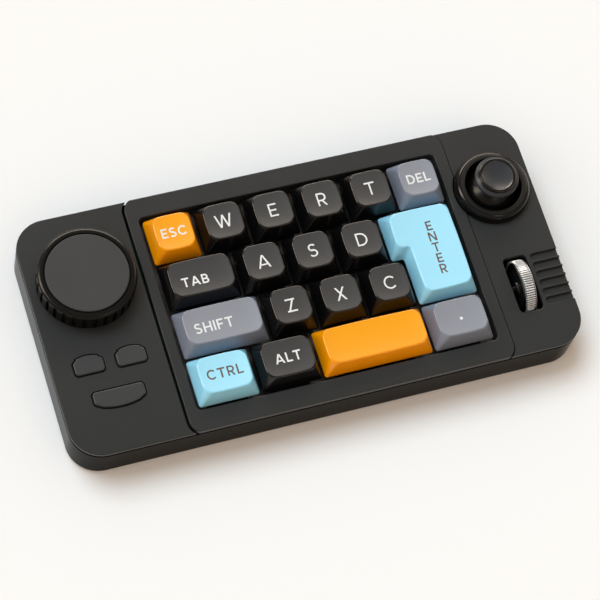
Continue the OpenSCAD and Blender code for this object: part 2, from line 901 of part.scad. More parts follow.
// Enter key: two rows deep, with an ear on the left of its rear half.
module key_enter() {
    ear = [enter_at[2] + enter_ear, 1];
    tall = [enter_at[2], 2];
    ear_at = [-enter_ear * unit / 2, unit / 2];
    color([0.66, 0.9, 1]) translate(key_place(enter_at)) {
        difference() {
            union() {
                translate(ear_at) cap_outside(ear);
                cap_outside(tall);
            }
            translate(ear_at) cap_inside(ear, fit);
            cap_inside(tall);
        }
        cap_tube();
        switch_stem();
    }
    color([0.2, 0.2, 0.2]) at_stabiliser(enter_at, 90) stabiliser_sliders();
}

// Shaft section of the encoder: round with one flat, drawn out by a clearance.
module d_section(grow = 0) {
    difference() {
        circle(d = shaft_d + 2 * grow);
        translate([shaft_d / 2 - shaft_flat + grow, -shaft_d]) square(2 * shaft_d);
    }
}

module encoder_body() {
    color([0.6, 0.61, 0.6]) translate([dial_x, dial_y]) difference() {
        union() {
            block(encoder_size, board_top, encoder_top);
            pillar(bushing_d, encoder_top - over, panel_top + nut_h + over);
        }
        pillar(rotor_d + 3 * play, board_top + encoder_wall, encoder_top - encoder_wall);
        pillar(shaft_d + 2 * fit, encoder_top - encoder_wall - over, panel_top + nut_h + 2 * over);
    }
}

module encoder_nut() {
    color([0.8, 0.8, 0.78]) translate([dial_x, dial_y]) difference() {
        translate([0, 0, panel_top]) cylinder(d = nut_w / cos(30), h = nut_h - fit, $fn = 6);
        pillar(bushing_d + fit, panel_top - over, panel_top + nut_h);
    }
}

// Rotor inside the encoder, which turns with the shaft and lets it slide.
module encoder_rotor() {
    color([0.85, 0.83, 0.75]) translate([dial_x, dial_y]) difference() {
        pillar(rotor_d, rotor_z0, rotor_z0 + rotor_h);
        slab(rotor_z0 - over, rotor_z0 + rotor_h + over) d_section(fit);
    }
}

module dial_shaft() {
    color([0.75, 0.76, 0.78]) translate([dial_x, dial_y])
        slab(shaft_z0, dial_z1 - dial_cap_t - shaft_roof) d_section();
}

// Notched grip with a recess for the cap and a hub for the shaft.
module dial_grip() {
    color([0.13, 0.13, 0.13]) translate([dial_x, dial_y]) difference() {
        union() {
            rotate_extrude() polygon([
                [dial_r - dial_wall, dial_z0], [dial_r, dial_z0], [dial_r, dial_z1 - dial_shoulder],
                [dial_cap_r + dial_land, dial_z1], [0, dial_z1], [0, dial_z1 - dial_cap_t - dial_web],
                [dial_r - dial_wall, dial_z1 - dial_cap_t - dial_web],
            ]);
            pillar(dial_hub_d, panel_top + nut_h + dial_gap + 2 * play, dial_z1 - dial_cap_t);
        }
        pillar(2 * (dial_cap_r + dial_groove), dial_z1 - dial_cap_t, dial_z1 + over);
        slab(dial_z0, dial_z1 - dial_cap_t - shaft_roof) d_section(fit / 2);
        for (i = [0 : dial_notches - 1]) rotate(i * 360 / dial_notches)
            translate([dial_r + dial_notch_d / 2 - dial_notch_deep, 0])
                pillar(dial_notch_d, dial_z0 - over, dial_z1 - dial_shoulder + 3 * over);
    }
}

module dial_cap() {
    color([0.25, 0.25, 0.25]) translate([dial_x, dial_y])
        pillar(2 * dial_cap_r, dial_z1 - dial_cap_t, dial_z1 + dial_cap_rise);
}

// Outline of a small button: round corners and an arched rear edge.
module small_button_outline(grow = 0) {
    size = button_size + [2 * grow, 2 * grow];
    intersection() {
        rrect(size, button_corner + grow);
        translate([0, size[1] / 2 - small_arch_r - grow]) circle(small_arch_r + grow, $fn = 128);
    }
}

// Outline of the long button: round corners and an arched front edge.
module long_button_outline(grow = 0) {
    size = button_long_size + [2 * grow, 2 * grow];
    intersection() {
        rrect(size, button_corner + grow);
        translate([0, long_arch_r + grow - size[1] / 2]) circle(long_arch_r + grow, $fn = 128);
    }
}

// Button's lip under the panel, its foot and the plunger of its switch.
module button_under() {
    pillar(post_d, board_top + button_foot, button_z0 + over);
    pillar(tact_plunger_d, tact_plunger_z0, board_top + button_foot - fit);
}

module small_button(at) {
    color([0.25, 0.25, 0.25]) translate(at) {
        slab(button_z0, button_z1) small_button_outline();
        slab(button_z0, button_lip_top) small_button_outline(button_lip);
        button_under();
    }
}

module button_left() { small_button(button_left_at); }
module button_right() { small_button(button_right_at); }

module button_long() {
    color([0.25, 0.25, 0.25]) translate(button_long_at) {
        slab(button_z0, button_z1) long_button_outline();
        slab(button_z0, button_lip_top) long_button_outline(button_lip);
        button_under();
    }
}

module tact_switches() {
    color([0.12, 0.12, 0.12]) at_each(BUTTONS) difference() {
        block([tact_w, tact_w], board_top, board_top + tact_h);
        pillar(tact_plunger_d + 2 * fit, tact_plunger_z0 - button_travel - play, board_top + tact_h + over);
    }
}

// Open box of the joystick module, with bores for the gimbal ring's pins.
module joystick_housing() {
    color([0.2, 0.2, 0.22]) translate([stick_x, stick_y]) difference() {
        block([gimbal_box, gimbal_box], board_top, board_top + gimbal_box_h);
        block([gimbal_room, gimbal_room], board_top + gimbal_floor, board_top + gimbal_box_h + over);
        translate([0, 0, pivot_z]) rotate([0, 90, 0])
            cylinder(d = gimbal_pin_d + 2 * fit, h = gimbal_box + 2 * over, center = true);
    }
}

// Angle sensors beside the joystick module and the click switch under the stick.
module joystick_sensors() {
    color([0.15, 0.35, 0.6]) translate([stick_x, stick_y]) {
        translate([-(gimbal_box + sensor[0]) / 2 - fit, 0])
            block([sensor[0], sensor[1]], board_top, board_top + sensor[2]);
        translate([0, -(gimbal_box + sensor[0]) / 2 - fit])
            block([sensor[1], sensor[0]], board_top, board_top + sensor[2]);
        pillar(click_d, click_z0, click_z0 + click_h);
    }
}

// Collar round the joystick, with a spigot in the panel.
module joystick_collar() {
    side_steps = 8;
    side_w = collar_r - collar_bore_r - collar_rim_w;
    side_h = collar_h - collar_edge;
    color([0.06, 0.06, 0.06]) translate([stick_x, stick_y, panel_top])
        rotate_extrude($fn = 96) polygon(concat(
        [[collar_bore_r, -panel_t], [collar_spigot_r, -panel_t], [collar_spigot_r, 0], [collar_r, 0]],
        [for (i = [0 : side_steps]) [
            collar_r - side_w * (1 - cos(90 * i / side_steps)),
            collar_edge + side_h * sin(90 * i / side_steps),
        ]],
        [[collar_bore_r + collar_break, collar_h], [collar_bore_r, collar_h - collar_break]]
    ));
}

// Ring that tilts about X in the housing, with bores for the hub's pins.
module gimbal_ring() {
    color([0.5, 0.5, 0.52]) translate([stick_x, stick_y, pivot_z]) {
        difference() {
            block([gimbal_w, gimbal_w], -gimbal_t / 2, gimbal_t / 2);
            block([gimbal_hole, gimbal_hole], -gimbal_t, gimbal_t);
            rotate([90, 0, 0])
                cylinder(d = gimbal_pin_d + 2 * fit, h = gimbal_w + 2 * over, center = true);
        }
        for (s = [-1, 1]) rotate([0, s * 90, 0]) translate([0, 0, gimbal_w / 2 - over])
            cylinder(d = gimbal_pin_d, h = gimbal_box / 2 - gimbal_w / 2);
    }
}

// Hub that tilts about Y in the ring and guides the stick's shaft.
module stick_hub() {
    color([0.6, 0.6, 0.62]) translate([stick_x, stick_y, pivot_z]) difference() {
        union() {
            block([hub_w, hub_w], -hub_t / 2, hub_t / 2);
            rotate([90, 0, 0]) cylinder(d = gimbal_pin_d, h = gimbal_w - play, center = true);
        }
        pillar(stick_d + 2 * fit, -hub_t, hub_t);
    }
}

// Shaft of the stick, with a tip rounded about the pivot that rides on the click switch.
module stick_shaft() {
    color([0.75, 0.76, 0.78]) translate([stick_x, stick_y]) {
        pillar(stick_d, pivot_z, thumb_top - thumb_bore);
        intersection() {
            translate([0, 0, pivot_z]) sphere(stick_tip_r);
            pillar(stick_d, pivot_z - 2 * stick_tip_r, pivot_z + over);
        }
    }
}

// Domed cover that closes the collar's opening, with a neck up to the thumb cap.
module stick_dome() {
    color([0.12, 0.12, 0.12]) translate([stick_x, stick_y]) difference() {
        union() {
            translate([0, 0, pivot_z]) sphere(dome_r, $fn = 96);
            intersection() {
                translate([0, 0, pivot_z]) sphere(dome_r + dome_step, $fn = 96);
                pillar(2 * dome_step_r, pivot_z, pivot_z + 2 * dome_r);
            }
            pillar(2 * neck_r, pivot_z + dome_r - dome_t, thumb_top - thumb_t - fit);
        }
        translate([0, 0, pivot_z]) sphere(dome_r - dome_t, $fn = 96);
        pillar(3 * dome_r, pivot_z - 2 * dome_r, dome_z0);
        pillar(stick_d + fit, pivot_z, thumb_top);
    }
}

// Thumb cap: a flared mushroom with a dished top and a blind bore for the shaft.
module thumb_cap() {
    color([0.12, 0.12, 0.12]) translate([stick_x, stick_y, thumb_top]) difference() {
        rotate_extrude($fn = 96) polygon([
            [0, -thumb_t], [neck_r + 1, -thumb_t],
            [thumb_r, thumb_flare - thumb_t], [thumb_r, thumb_band - thumb_t],
            [thumb_r - thumb_bevel[0], thumb_band + thumb_bevel[1] - thumb_t],
            [thumb_dish_r + thumb_rim + thumb_edge[0], -thumb_edge[1]], [thumb_dish_r + thumb_rim, 0],
            each [for (i = [0 : dish_steps])
                [thumb_dish_r * cos(90 * i / dish_steps), -thumb_dish * sin(90 * i / dish_steps)]],
        ]);
        pillar(stick_d + fit, -thumb_t - over, fit - thumb_bore);
    }
}

// Frame on the board that carries the wheel's axle on two arms.
module wheel_bracket() {
    color([0.2, 0.2, 0.2]) translate([wheel_x, wheel_y]) difference() {
        union() {
            block([bracket_span + 2 * bracket_arm, bracket_l], board_top, board_top + bracket_base);
            for (s = [-1, 1]) translate([s * (bracket_span + bracket_arm) / 2, 0])
                block([bracket_arm, bracket_arm_w], board_top, bracket_top);
        }
        block(bracket_window, board_top - over, board_top + bracket_base + over);
        translate([0, 0, wheel_z]) rotate([0, 90, 0])
            cylinder(d = axle_d + 2 * fit, h = bracket_span + 2 * bracket_arm + 2 * over, center = true);
    }
}

// Rotation sensor on the left end of the axle.
module wheel_sensor() {
    color([0.15, 0.35, 0.6])
        translate([wheel_x - bracket_span / 2 - bracket_arm - sensor_block[0] / 2 - play, wheel_y])
            difference() {
                block(sensor_block, board_top, bracket_top);
                translate([-sensor_bore, 0, wheel_z]) rotate([0, 90, 0])
                    cylinder(d = axle_d + 2 * fit, h = sensor_bore + sensor_block[0]);
            }
}

module wheel_axle() {
    length = bracket_span + 2 * bracket_arm + axle_end;
    color([0.75, 0.76, 0.78])
        translate([wheel_x - bracket_span / 2 - bracket_arm - axle_end, wheel_y, wheel_z])
            rotate([0, 90, 0]) cylinder(d = axle_d, h = length);
}

module scroll_wheel() {
    half = wheel_w / 2;
    color([0.8, 0.81, 0.83]) translate([wheel_x, wheel_y, wheel_z]) rotate([0, 90, 0])
        rotate_extrude($fn = 128) polygon([
            [axle_d / 2 + fit / 2, -half], [wheel_r - wheel_chamfer, -half],
            [wheel_r, wheel_chamfer - half], [wheel_r, half - wheel_chamfer],
            [wheel_r - wheel_chamfer, half], [axle_d / 2 + fit / 2, half],
        ]);
}

bottom_case();
left_panel();
right_panel();
centre_frame();
switch_plate();
main_board();
controller_chip();
usb_socket();
rubber_feet();
case_screws();
plate_screws();
plate_spacers();
switch_housings();
switch_springs();
stabiliser_housings();
space_stabiliser_wire();
enter_stabiliser_wire();
key_esc();
key_w();
key_e();
key_r();
key_t();
key_del();
key_tab();
key_a();
key_s();
key_d();
key_enter();
key_shift();
key_z();
key_x();
key_c();
key_ctrl();
key_alt();
key_space();
key_dot();
encoder_body();
encoder_nut();
encoder_rotor();
dial_shaft();
dial_grip();
dial_cap();
tact_switches();
button_left();
button_right();
button_long();
joystick_housing();
joystick_sensors();
joystick_collar();
gimbal_ring();
stick_hub();
stick_shaft();
stick_dome();
thumb_cap();
wheel_bracket();
wheel_sensor();
wheel_axle();
scroll_wheel();
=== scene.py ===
"""Looks of a macro keypad: its finishes, rounded edges, legends and small parts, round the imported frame.

Every size below is in millimetres and every colour is an sRGB triple from 0 to 255.
"""

import logging
import math
from collections.abc import Callable, Iterable, Sequence
from dataclasses import dataclass, field
from enum import Enum
from typing import Any

import bmesh
import bpy
from mathutils import Matrix, Vector
from mathutils.geometry import delaunay_2d_cdt


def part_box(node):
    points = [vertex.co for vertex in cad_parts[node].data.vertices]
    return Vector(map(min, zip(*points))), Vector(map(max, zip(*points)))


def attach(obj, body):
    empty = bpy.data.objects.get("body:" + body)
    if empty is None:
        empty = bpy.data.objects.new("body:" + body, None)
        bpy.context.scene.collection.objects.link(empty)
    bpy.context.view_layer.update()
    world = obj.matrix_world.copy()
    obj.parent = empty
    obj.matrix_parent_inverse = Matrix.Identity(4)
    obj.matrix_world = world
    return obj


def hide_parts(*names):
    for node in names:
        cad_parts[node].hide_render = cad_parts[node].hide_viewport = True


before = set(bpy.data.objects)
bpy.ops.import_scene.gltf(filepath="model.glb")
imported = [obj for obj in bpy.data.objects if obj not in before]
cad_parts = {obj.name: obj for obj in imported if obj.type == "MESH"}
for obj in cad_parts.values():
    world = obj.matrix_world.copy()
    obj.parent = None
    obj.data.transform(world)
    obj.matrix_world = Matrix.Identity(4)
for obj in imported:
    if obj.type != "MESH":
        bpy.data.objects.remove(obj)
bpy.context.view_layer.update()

Point = tuple[float, float]
Place = tuple[float, float, float]
Loop = list[Point]
Colour = tuple[int, int, int]
Height = Callable[[float, float], float]

MM = 0.001
MERGE = 1e-6
FULL_TURN = 360.0
CREASE = 35.0
log = logging.getLogger("keypad")


# --- Outlines -------------------------------------------------------------------------------------


def arc(centre: Point, radius: float, start: float, end: float, steps: int = 12) -> Loop:
    """Points along an arc, both ends included.

    Args:
        centre: Middle of the arc.
        radius: Radius of the arc.
        start: Angle of the first point, in degrees.
        end: Angle of the last point, in degrees.
        steps: Number of chords.

    Returns:
        The points in order.
    """
    angles = [math.radians(start + (end - start) * i / steps) for i in range(steps + 1)]
    return [(centre[0] + radius * math.cos(a), centre[1] + radius * math.sin(a)) for a in angles]


def circle(centre: Point, radius: float, steps: int = 48) -> Loop:
    """Counter-clockwise circle.

    Args:
        centre: Middle of the circle.
        radius: Radius of the circle.
        steps: Number of points.

    Returns:
        The closed loop.
    """
    return arc(centre, radius, 0, FULL_TURN, steps)[:-1]


def rounded(corners: Sequence[Point], radii: Sequence[float] | float, steps: int = 8) -> Loop:
    """Polygon whose corners are turned into arcs.

    Args:
        corners: Corners of the polygon, counter-clockwise.
        radii: Radius of each corner, or one radius for all of them.
        steps: Chords in each corner.

    Returns:
        The closed loop, with steps + 1 points for each corner.
    """
    if not isinstance(radii, Sequence):
        radii = [radii] * len(corners)
    loop: Loop = []
    for i, (corner, radius) in enumerate(zip(corners, radii)):
        here = Vector(corner)
        back = (Vector(corners[i - 1]) - here).normalized()
        ahead = (Vector(corners[(i + 1) % len(corners)]) - here).normalized()
        inside = back.angle(ahead)
        reach = radius / math.tan(inside / 2)
        middle = here + (back + ahead).normalized() * radius / math.sin(inside / 2)
        first = here + back * reach - middle
        last = here + ahead * reach - middle
        sweep = math.pi - inside
        for step in range(steps + 1):
            share = step / steps
            spoke = first * math.sin((1 - share) * sweep) + last * math.sin(share * sweep)
            loop.append(tuple(middle + spoke / math.sin(sweep)))
    return loop


def rectangle(low: Point, high: Point) -> Loop:
    """Corners of a rectangle, counter-clockwise."""
    return [low, (high[0], low[1]), high, (low[0], high[1])]


def shifted(loop: Loop, distance: float) -> Loop:
    """Counter-clockwise loop moved out by a distance, or in where it is negative.

    Args:
        loop: The closed loop.
        distance: How far each edge moves out.

    Returns:
        The moved loop, with the same number of points.
    """
    sharpest = 1.5
    moved: Loop = []
    for i, point in enumerate(loop):
        before = (Vector(point) - Vector(loop[i - 1])).normalized()
        after = (Vector(loop[(i + 1) % len(loop)]) - Vector(point)).normalized()
        side = Vector((before.y, -before.x))
        mean = side + Vector((after.y, -after.x))
        mean = mean.normalized() if mean.length > MERGE else side
        stretch = min(1 / max(mean.dot(side), 0.1), sharpest)
        moved.append(tuple(Vector(point) + mean * distance * stretch))
    return moved


@dataclass(frozen=True)
class Box:
    """Extent of something in the frame, in millimetres."""

    low: Vector
    high: Vector

    @classmethod
    def of(cls, node: str) -> "Box":
        """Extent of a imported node."""
        low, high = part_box(node)
        return cls(low / MM, high / MM)

    @property
    def middle(self) -> Vector:
        """Centre of the box."""
        return (self.low + self.high) / 2

    @property
    def size(self) -> Vector:
        """Lengths of the box's sides."""
        return self.high - self.low


def loose_parts(node: str) -> list[tuple[Box, bmesh.types.BMesh]]:
    """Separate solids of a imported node, from a merged copy of its mesh.

    Args:
        node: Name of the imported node.

    Returns:
        The extent and the mesh of each solid, in the mesh's order.
    """
    whole = bmesh.new()
    whole.from_mesh(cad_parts[node].data)
    bmesh.ops.remove_doubles(whole, verts=whole.verts, dist=MERGE)
    whole.verts.ensure_lookup_table()
    parts, seen = [], set()
    for start in whole.verts:
        if start.index in seen:
            continue
        group, queue = {start}, [start]
        while queue:
            for edge in queue.pop().link_edges:
                for vert in edge.verts:
                    if vert not in group:
                        group.add(vert)
                        queue.append(vert)
        seen.update(v.index for v in group)
        part = bmesh.new()
        twin = {v: part.verts.new(v.co) for v in sorted(group, key=lambda v: v.index)}
        for face in sorted({f for v in group for f in v.link_faces}, key=lambda f: f.index):
            part.faces.new([twin[v] for v in face.verts])
        places = [v.co / MM for v in part.verts]
        low = Vector([min(p[k] for p in places) for k in range(3)])
        high = Vector([max(p[k] for p in places) for k in range(3)])
        parts.append((Box(low, high), part))
    whole.free()
    return parts


# --- Meshes ---------------------------------------------------------------------------------------


class Axis(Enum):
    """Axis that a turned shape goes round."""

    X = 0
    Z = 2


@dataclass(frozen=True)
class Rounding:
    """Rounded edge between a wall and a flat face."""

    radius: float
    steps: int = 4
    hold: float = 0.08

    def rings(self, top: float, up: bool = True) -> list[Point]:
        """Profile of the edge, from the wall to the flat face.

        Args:
            top: Height of the flat face.
            up: True where the flat face looks up.

        Returns:
            Pairs of how far in from the wall and at what height.
        """
        side = 1 if up else -1
        turns = [math.pi / 2 * i / self.steps for i in range(self.steps + 1)]
        curve = [
            (self.radius * (1 - math.cos(t)), top - side * self.radius * (1 - math.sin(t))) for t in turns
        ]
        start = (0.0, top - side * (self.radius + self.hold))
        return [start, *curve, (self.radius + self.hold, top)]


SHARP = Rounding(0.04, 1, 0.02)


class Draft:
    """A surface drafted ring by ring, in millimetres, and built as one object."""

    def __init__(self) -> None:
        """Starts an empty draft whose faces take the first finish."""
        self.points: list[Place] = []
        self.faces: list[tuple[int, ...]] = []
        self.kinds: list[int] = []
        self.kind = 0

    def place(self, points: Iterable[Place]) -> list[int]:
        """Adds points and returns their numbers.

        Args:
            points: The points, in millimetres.

        Returns:
            Their numbers.
        """
        start = len(self.points)
        self.points.extend(tuple(p) for p in points)
        return list(range(start, len(self.points)))

    def ring(self, loop: Loop, height: float | Height) -> list[int]:
        """Adds a loop at a height.

        Args:
            loop: Points in plan.
            height: One height, or a function of X and Y that gives it.

        Returns:
            The numbers of the points.
        """
        if callable(height):
            return self.place((x, y, height(x, y)) for x, y in loop)
        return self.place((x, y, height) for x, y in loop)

    def face(self, corners: Sequence[int]) -> None:
        """Adds one face of the current finish."""
        self.faces.append(tuple(corners))
        self.kinds.append(self.kind)

    def band(self, first: list[int], second: list[int]) -> None:
        """Joins two rings of equal count, or a ring and a pole.

        Args:
            first: Point numbers of one ring.
            second: Point numbers of the other.
        """
        count = max(len(first), len(second))
        for i in range(count):
            j = (i + 1) % count
            if len(first) == 1:
                self.face((first[0], second[j], second[i]))
            elif len(second) == 1:
                self.face((first[i], first[j], second[0]))
            else:
                self.face((first[i], first[j], second[j], second[i]))

    def stack(self, rings: Sequence[list[int]]) -> None:
        """Joins each ring to the next."""
        for first, second in zip(rings, rings[1:]):
            self.band(first, second)

    def cap(
        self, rings: Sequence[list[int]], spare: Loop | None = None, height: Height | None = None
    ) -> None:
        """Fills the space between nested rings, which may hold holes.

        Args:
            rings: Numbers of the points of each ring.
            spare: Further points in plan that the filling goes through.
            height: Height of the further points.
        """
        known = [number for ring in rings for number in ring]
        flat = [Vector(self.points[number][:2]) for number in known]
        loops, start = [], 0
        for ring in rings:
            loops.append(list(range(start, start + len(ring))))
            start += len(ring)
        flat.extend(Vector(p) for p in spare or [])
        places, _, filled, origins, _, _ = delaunay_2d_cdt(flat, [], loops, 2, MERGE)
        numbers = []
        for place, origin in zip(places, origins):
            if origin and origin[0] < len(known):
                numbers.append(known[origin[0]])
            else:
                level = height(place.x, place.y) if height else self.points[known[0]][2]
                numbers.extend(self.place([(place.x, place.y, level)]))
        for corners in filled:
            self.face([numbers[corner] for corner in corners])

    def lathe(
        self,
        profile: Sequence[Point],
        centre: Place,
        axis: Axis = Axis.Z,
        steps: int = 96,
        closed: bool = False,
    ) -> None:
        """Turns a profile round an axis.

        Args:
            profile: Pairs of radius and distance along the axis.
            centre: Place of the profile's origin.
            axis: Axis that the shape goes round.
            steps: Points round the axis.
            closed: True where the profile's last point joins its first.
        """
        rings = []
        for radius, along in profile:
            spokes = circle((0, 0), radius, steps) if radius > MERGE else [(0.0, 0.0)]
            if axis is Axis.Z:
                points = [(centre[0] + x, centre[1] + y, centre[2] + along) for x, y in spokes]
            else:
                points = [(centre[0] + along, centre[1] + x, centre[2] + y) for x, y in spokes]
            rings.append(self.place(points))
        self.stack([*rings, rings[0]] if closed else rings)

    def wall(self, loop: Loop, profile: Iterable[Point], side: int = 1) -> list[list[int]]:
        """Adds the rings of a wall and joins them.

        Args:
            loop: Outline of the wall.
            profile: Pairs of inset and height.
            side: 1 where the inset widens the loop, as in a hole, and -1 where it narrows it.

        Returns:
            The numbers of the points of each ring.
        """
        rings = [self.ring(shifted(loop, side * inset), z) for inset, z in profile]
        self.stack(rings)
        return rings

    def plate(
        self,
        outer: Loop,
        low: float,
        high: float,
        holes: Sequence[Loop] = (),
        edge: Rounding = SHARP,
        under: Rounding = SHARP,
        hole_edge: Rounding | None = None,
    ) -> None:
        """Adds a flat piece with rounded edges.

        Args:
            outer: Outline, counter-clockwise.
            low: Height of its underside.
            high: Height of its top.
            holes: Openings, counter-clockwise.
            edge: Rounding of the outline's upper edge.
            under: Rounding of every lower edge.
            hole_edge: Rounding of the openings' upper edges, if it differs.
        """
        walls = []
        for number, loop in enumerate([outer, *holes]):
            upper = (hole_edge or edge) if number else edge
            profile = [*under.rings(low, up=False)[::-1], *upper.rings(high)]
            walls.append(self.wall(loop, profile, 1 if number else -1))
        self.cap([rings[-1] for rings in walls])
        self.cap([rings[0] for rings in walls])

    def tube(
        self, centre: Point, outer: float, inner: float, low: float, high: float, steps: int = 24
    ) -> None:
        """Adds a round post with a bore from end to end."""
        profile = [(inner, low), (outer, low), (outer, high), (inner, high)]
        self.lathe(profile, (*centre, 0), steps=steps, closed=True)

    def take(self, solid: bmesh.types.BMesh) -> None:
        """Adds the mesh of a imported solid, in metres, as it is.

        Args:
            solid: The mesh.
        """
        solid.verts.index_update()
        numbers = self.place(tuple(v.co / MM) for v in solid.verts)
        for face in solid.faces:
            self.face([numbers[v.index] for v in face.verts])

    def take_skin(self, skin: bpy.types.Object, centre: Vector) -> None:
        """Adds the mesh of an object, moved to a centre, and removes the object.

        Args:
            skin: The object.
            centre: Where its origin goes, in millimetres.
        """
        shape = bmesh.new()
        shape.from_mesh(skin.data)
        bmesh.ops.translate(shape, verts=shape.verts, vec=centre * MM)
        self.take(shape)
        shape.free()
        bpy.data.objects.remove(skin)

    def build(self, name: str, *finishes: "Finish", crease: float = CREASE) -> bpy.types.Object:
        """Makes the object, merged, with its faces turned out and its sharp edges kept.

        Args:
            name: Name of the piece.
            finishes: Finish of each kind of face, in order.
            crease: Angle above which an edge stays sharp, in degrees.

        Returns:
            The object, at the origin.
        """
        mesh = bpy.data.meshes.new(name)
        mesh.from_pydata([tuple(c * MM for c in p) for p in self.points], [], self.faces)
        mesh.polygons.foreach_set("material_index", self.kinds)
        cleaned(mesh, crease)
        for finish in finishes:
            mesh.materials.append(finish.material())
        return linked(name, mesh)


def cleaned(mesh: bpy.types.Mesh, crease: float) -> bpy.types.Mesh:
    """Merges a mesh's doubles, turns its faces out and keeps its sharp edges.

    Args:
        mesh: Mesh to clean.
        crease: Angle above which an edge stays sharp, in degrees.

    Returns:
        The same mesh.
    """
    tidy = bmesh.new()
    tidy.from_mesh(mesh)
    bmesh.ops.remove_doubles(tidy, verts=tidy.verts, dist=MERGE)
    bmesh.ops.recalc_face_normals(tidy, faces=tidy.faces)
    tidy.to_mesh(mesh)
    tidy.free()
    mesh.shade_smooth()
    mesh.set_sharp_from_angle(angle=math.radians(crease))
    return mesh


def linked(name: str, data: Any) -> bpy.types.Object:
    """New object of a mesh, a light or a camera, in the scene.

    Args:
        name: Name of the object.
        data: Its data.

    Returns:
        The object.
    """
    thing = bpy.data.objects.new(name, data)
    bpy.context.scene.collection.objects.link(thing)
    return thing


def dress(piece: bpy.types.Object, body: str, slot: str, *nodes: str) -> bpy.types.Object:
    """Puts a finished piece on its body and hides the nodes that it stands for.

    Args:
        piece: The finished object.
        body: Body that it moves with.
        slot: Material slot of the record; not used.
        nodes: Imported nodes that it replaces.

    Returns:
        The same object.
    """
    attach(piece, body)
    if nodes:
        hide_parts(*nodes)
    log.info("%s: %d faces on %s", piece.name, len(piece.data.polygons), body)
    return piece


# --- Finishes -------------------------------------------------------------------------------------


def linear(colour: Colour) -> tuple[float, float, float, float]:
    """Colour as linear light, with full alpha.

    Args:
        colour: Red, green and blue, from 0 to 255.

    Returns:
        Red, green, blue and alpha, from 0 to 1.
    """
    shares = [c / 255 for c in colour]
    light = [s / 12.92 if s <= 0.04045 else ((s + 0.055) / 1.055) ** 2.4 for s in shares]
    return (*light, 1.0)


class Wiring:
    """Adds and joins the nodes of one tree."""

    def __init__(self, tree: bpy.types.NodeTree) -> None:
        """Takes the tree that the nodes go into."""
        self.tree = tree

    def node(self, kind: str, feeds: dict[Any, Any] | None = None, **settings: Any) -> bpy.types.Node:
        """Adds a node.

        Args:
            kind: Type of the node.
            feeds: Value or socket for each input, by name or number.
            settings: Properties of the node.

        Returns:
            The node.
        """
        node = self.tree.nodes.new(kind)
        for key, value in settings.items():
            setattr(node, key, value)
        for key, value in (feeds or {}).items():
            self.feed(node.inputs[key], value)
        return node

    def feed(self, socket: bpy.types.NodeSocket, value: Any) -> None:
        """Sets an input to a value, or joins it to an output.

        Args:
            socket: Input to feed.
            value: A value or an output.
        """
        if isinstance(value, bpy.types.NodeSocket):
            self.tree.links.new(value, socket)
        else:
            socket.default_value = value

    def math(self, operation: str, first: Any, second: Any = 0.0, third: Any = 0.0) -> bpy.types.NodeSocket:
        """Result of one sum on values or sockets."""
        kind = "ShaderNodeMath"
        return self.node(kind, {0: first, 1: second, 2: third}, operation=operation).outputs[0]

    def spread(self, value: Any, low: float, high: float, start: Any = 0.0, end: Any = 1.0) -> Any:
        """Value stretched from low..high to start..end, and held at the ends."""
        feeds = {"Value": value, "From Min": low, "From Max": high, "To Min": start, "To Max": end}
        return self.node("ShaderNodeMapRange", feeds).outputs[0]

    def blend(self, share: Any, first: Any, second: Any, how: str = "MIX") -> bpy.types.NodeSocket:
        """Colour between two colours."""
        feeds = {0: share, 6: first, 7: second}
        return self.node("ShaderNodeMix", feeds, data_type="RGBA", blend_type=how).outputs[2]

    def noise(self, where: Any, scale: Any, detail: float = 3.0, roughness: float = 0.55) -> Any:
        """Grey noise over a place."""
        feeds = {"Vector": where, "Scale": scale, "Detail": detail, "Roughness": roughness}
        return self.node("ShaderNodeTexNoise", feeds).outputs[0]


def new_group(
    name: str, kind: str, inputs: dict[str, str], outputs: dict[str, str]
) -> tuple[Wiring, Any, Any]:
    """Starts a node group.

    Args:
        name: Name of the group.
        kind: Type of its tree.
        inputs: Socket type of each named input.
        outputs: Socket type of each named output.

    Returns:
        The wiring, the group's input node and its output node.
    """
    tree = bpy.data.node_groups.new(name, kind)
    for label, socket in inputs.items():
        tree.interface.new_socket(name=label, in_out="INPUT", socket_type=socket)
    for label, socket in outputs.items():
        tree.interface.new_socket(name=label, in_out="OUTPUT", socket_type=socket)
    wiring = Wiring(tree)
    return wiring, wiring.node("NodeGroupInput"), wiring.node("NodeGroupOutput")


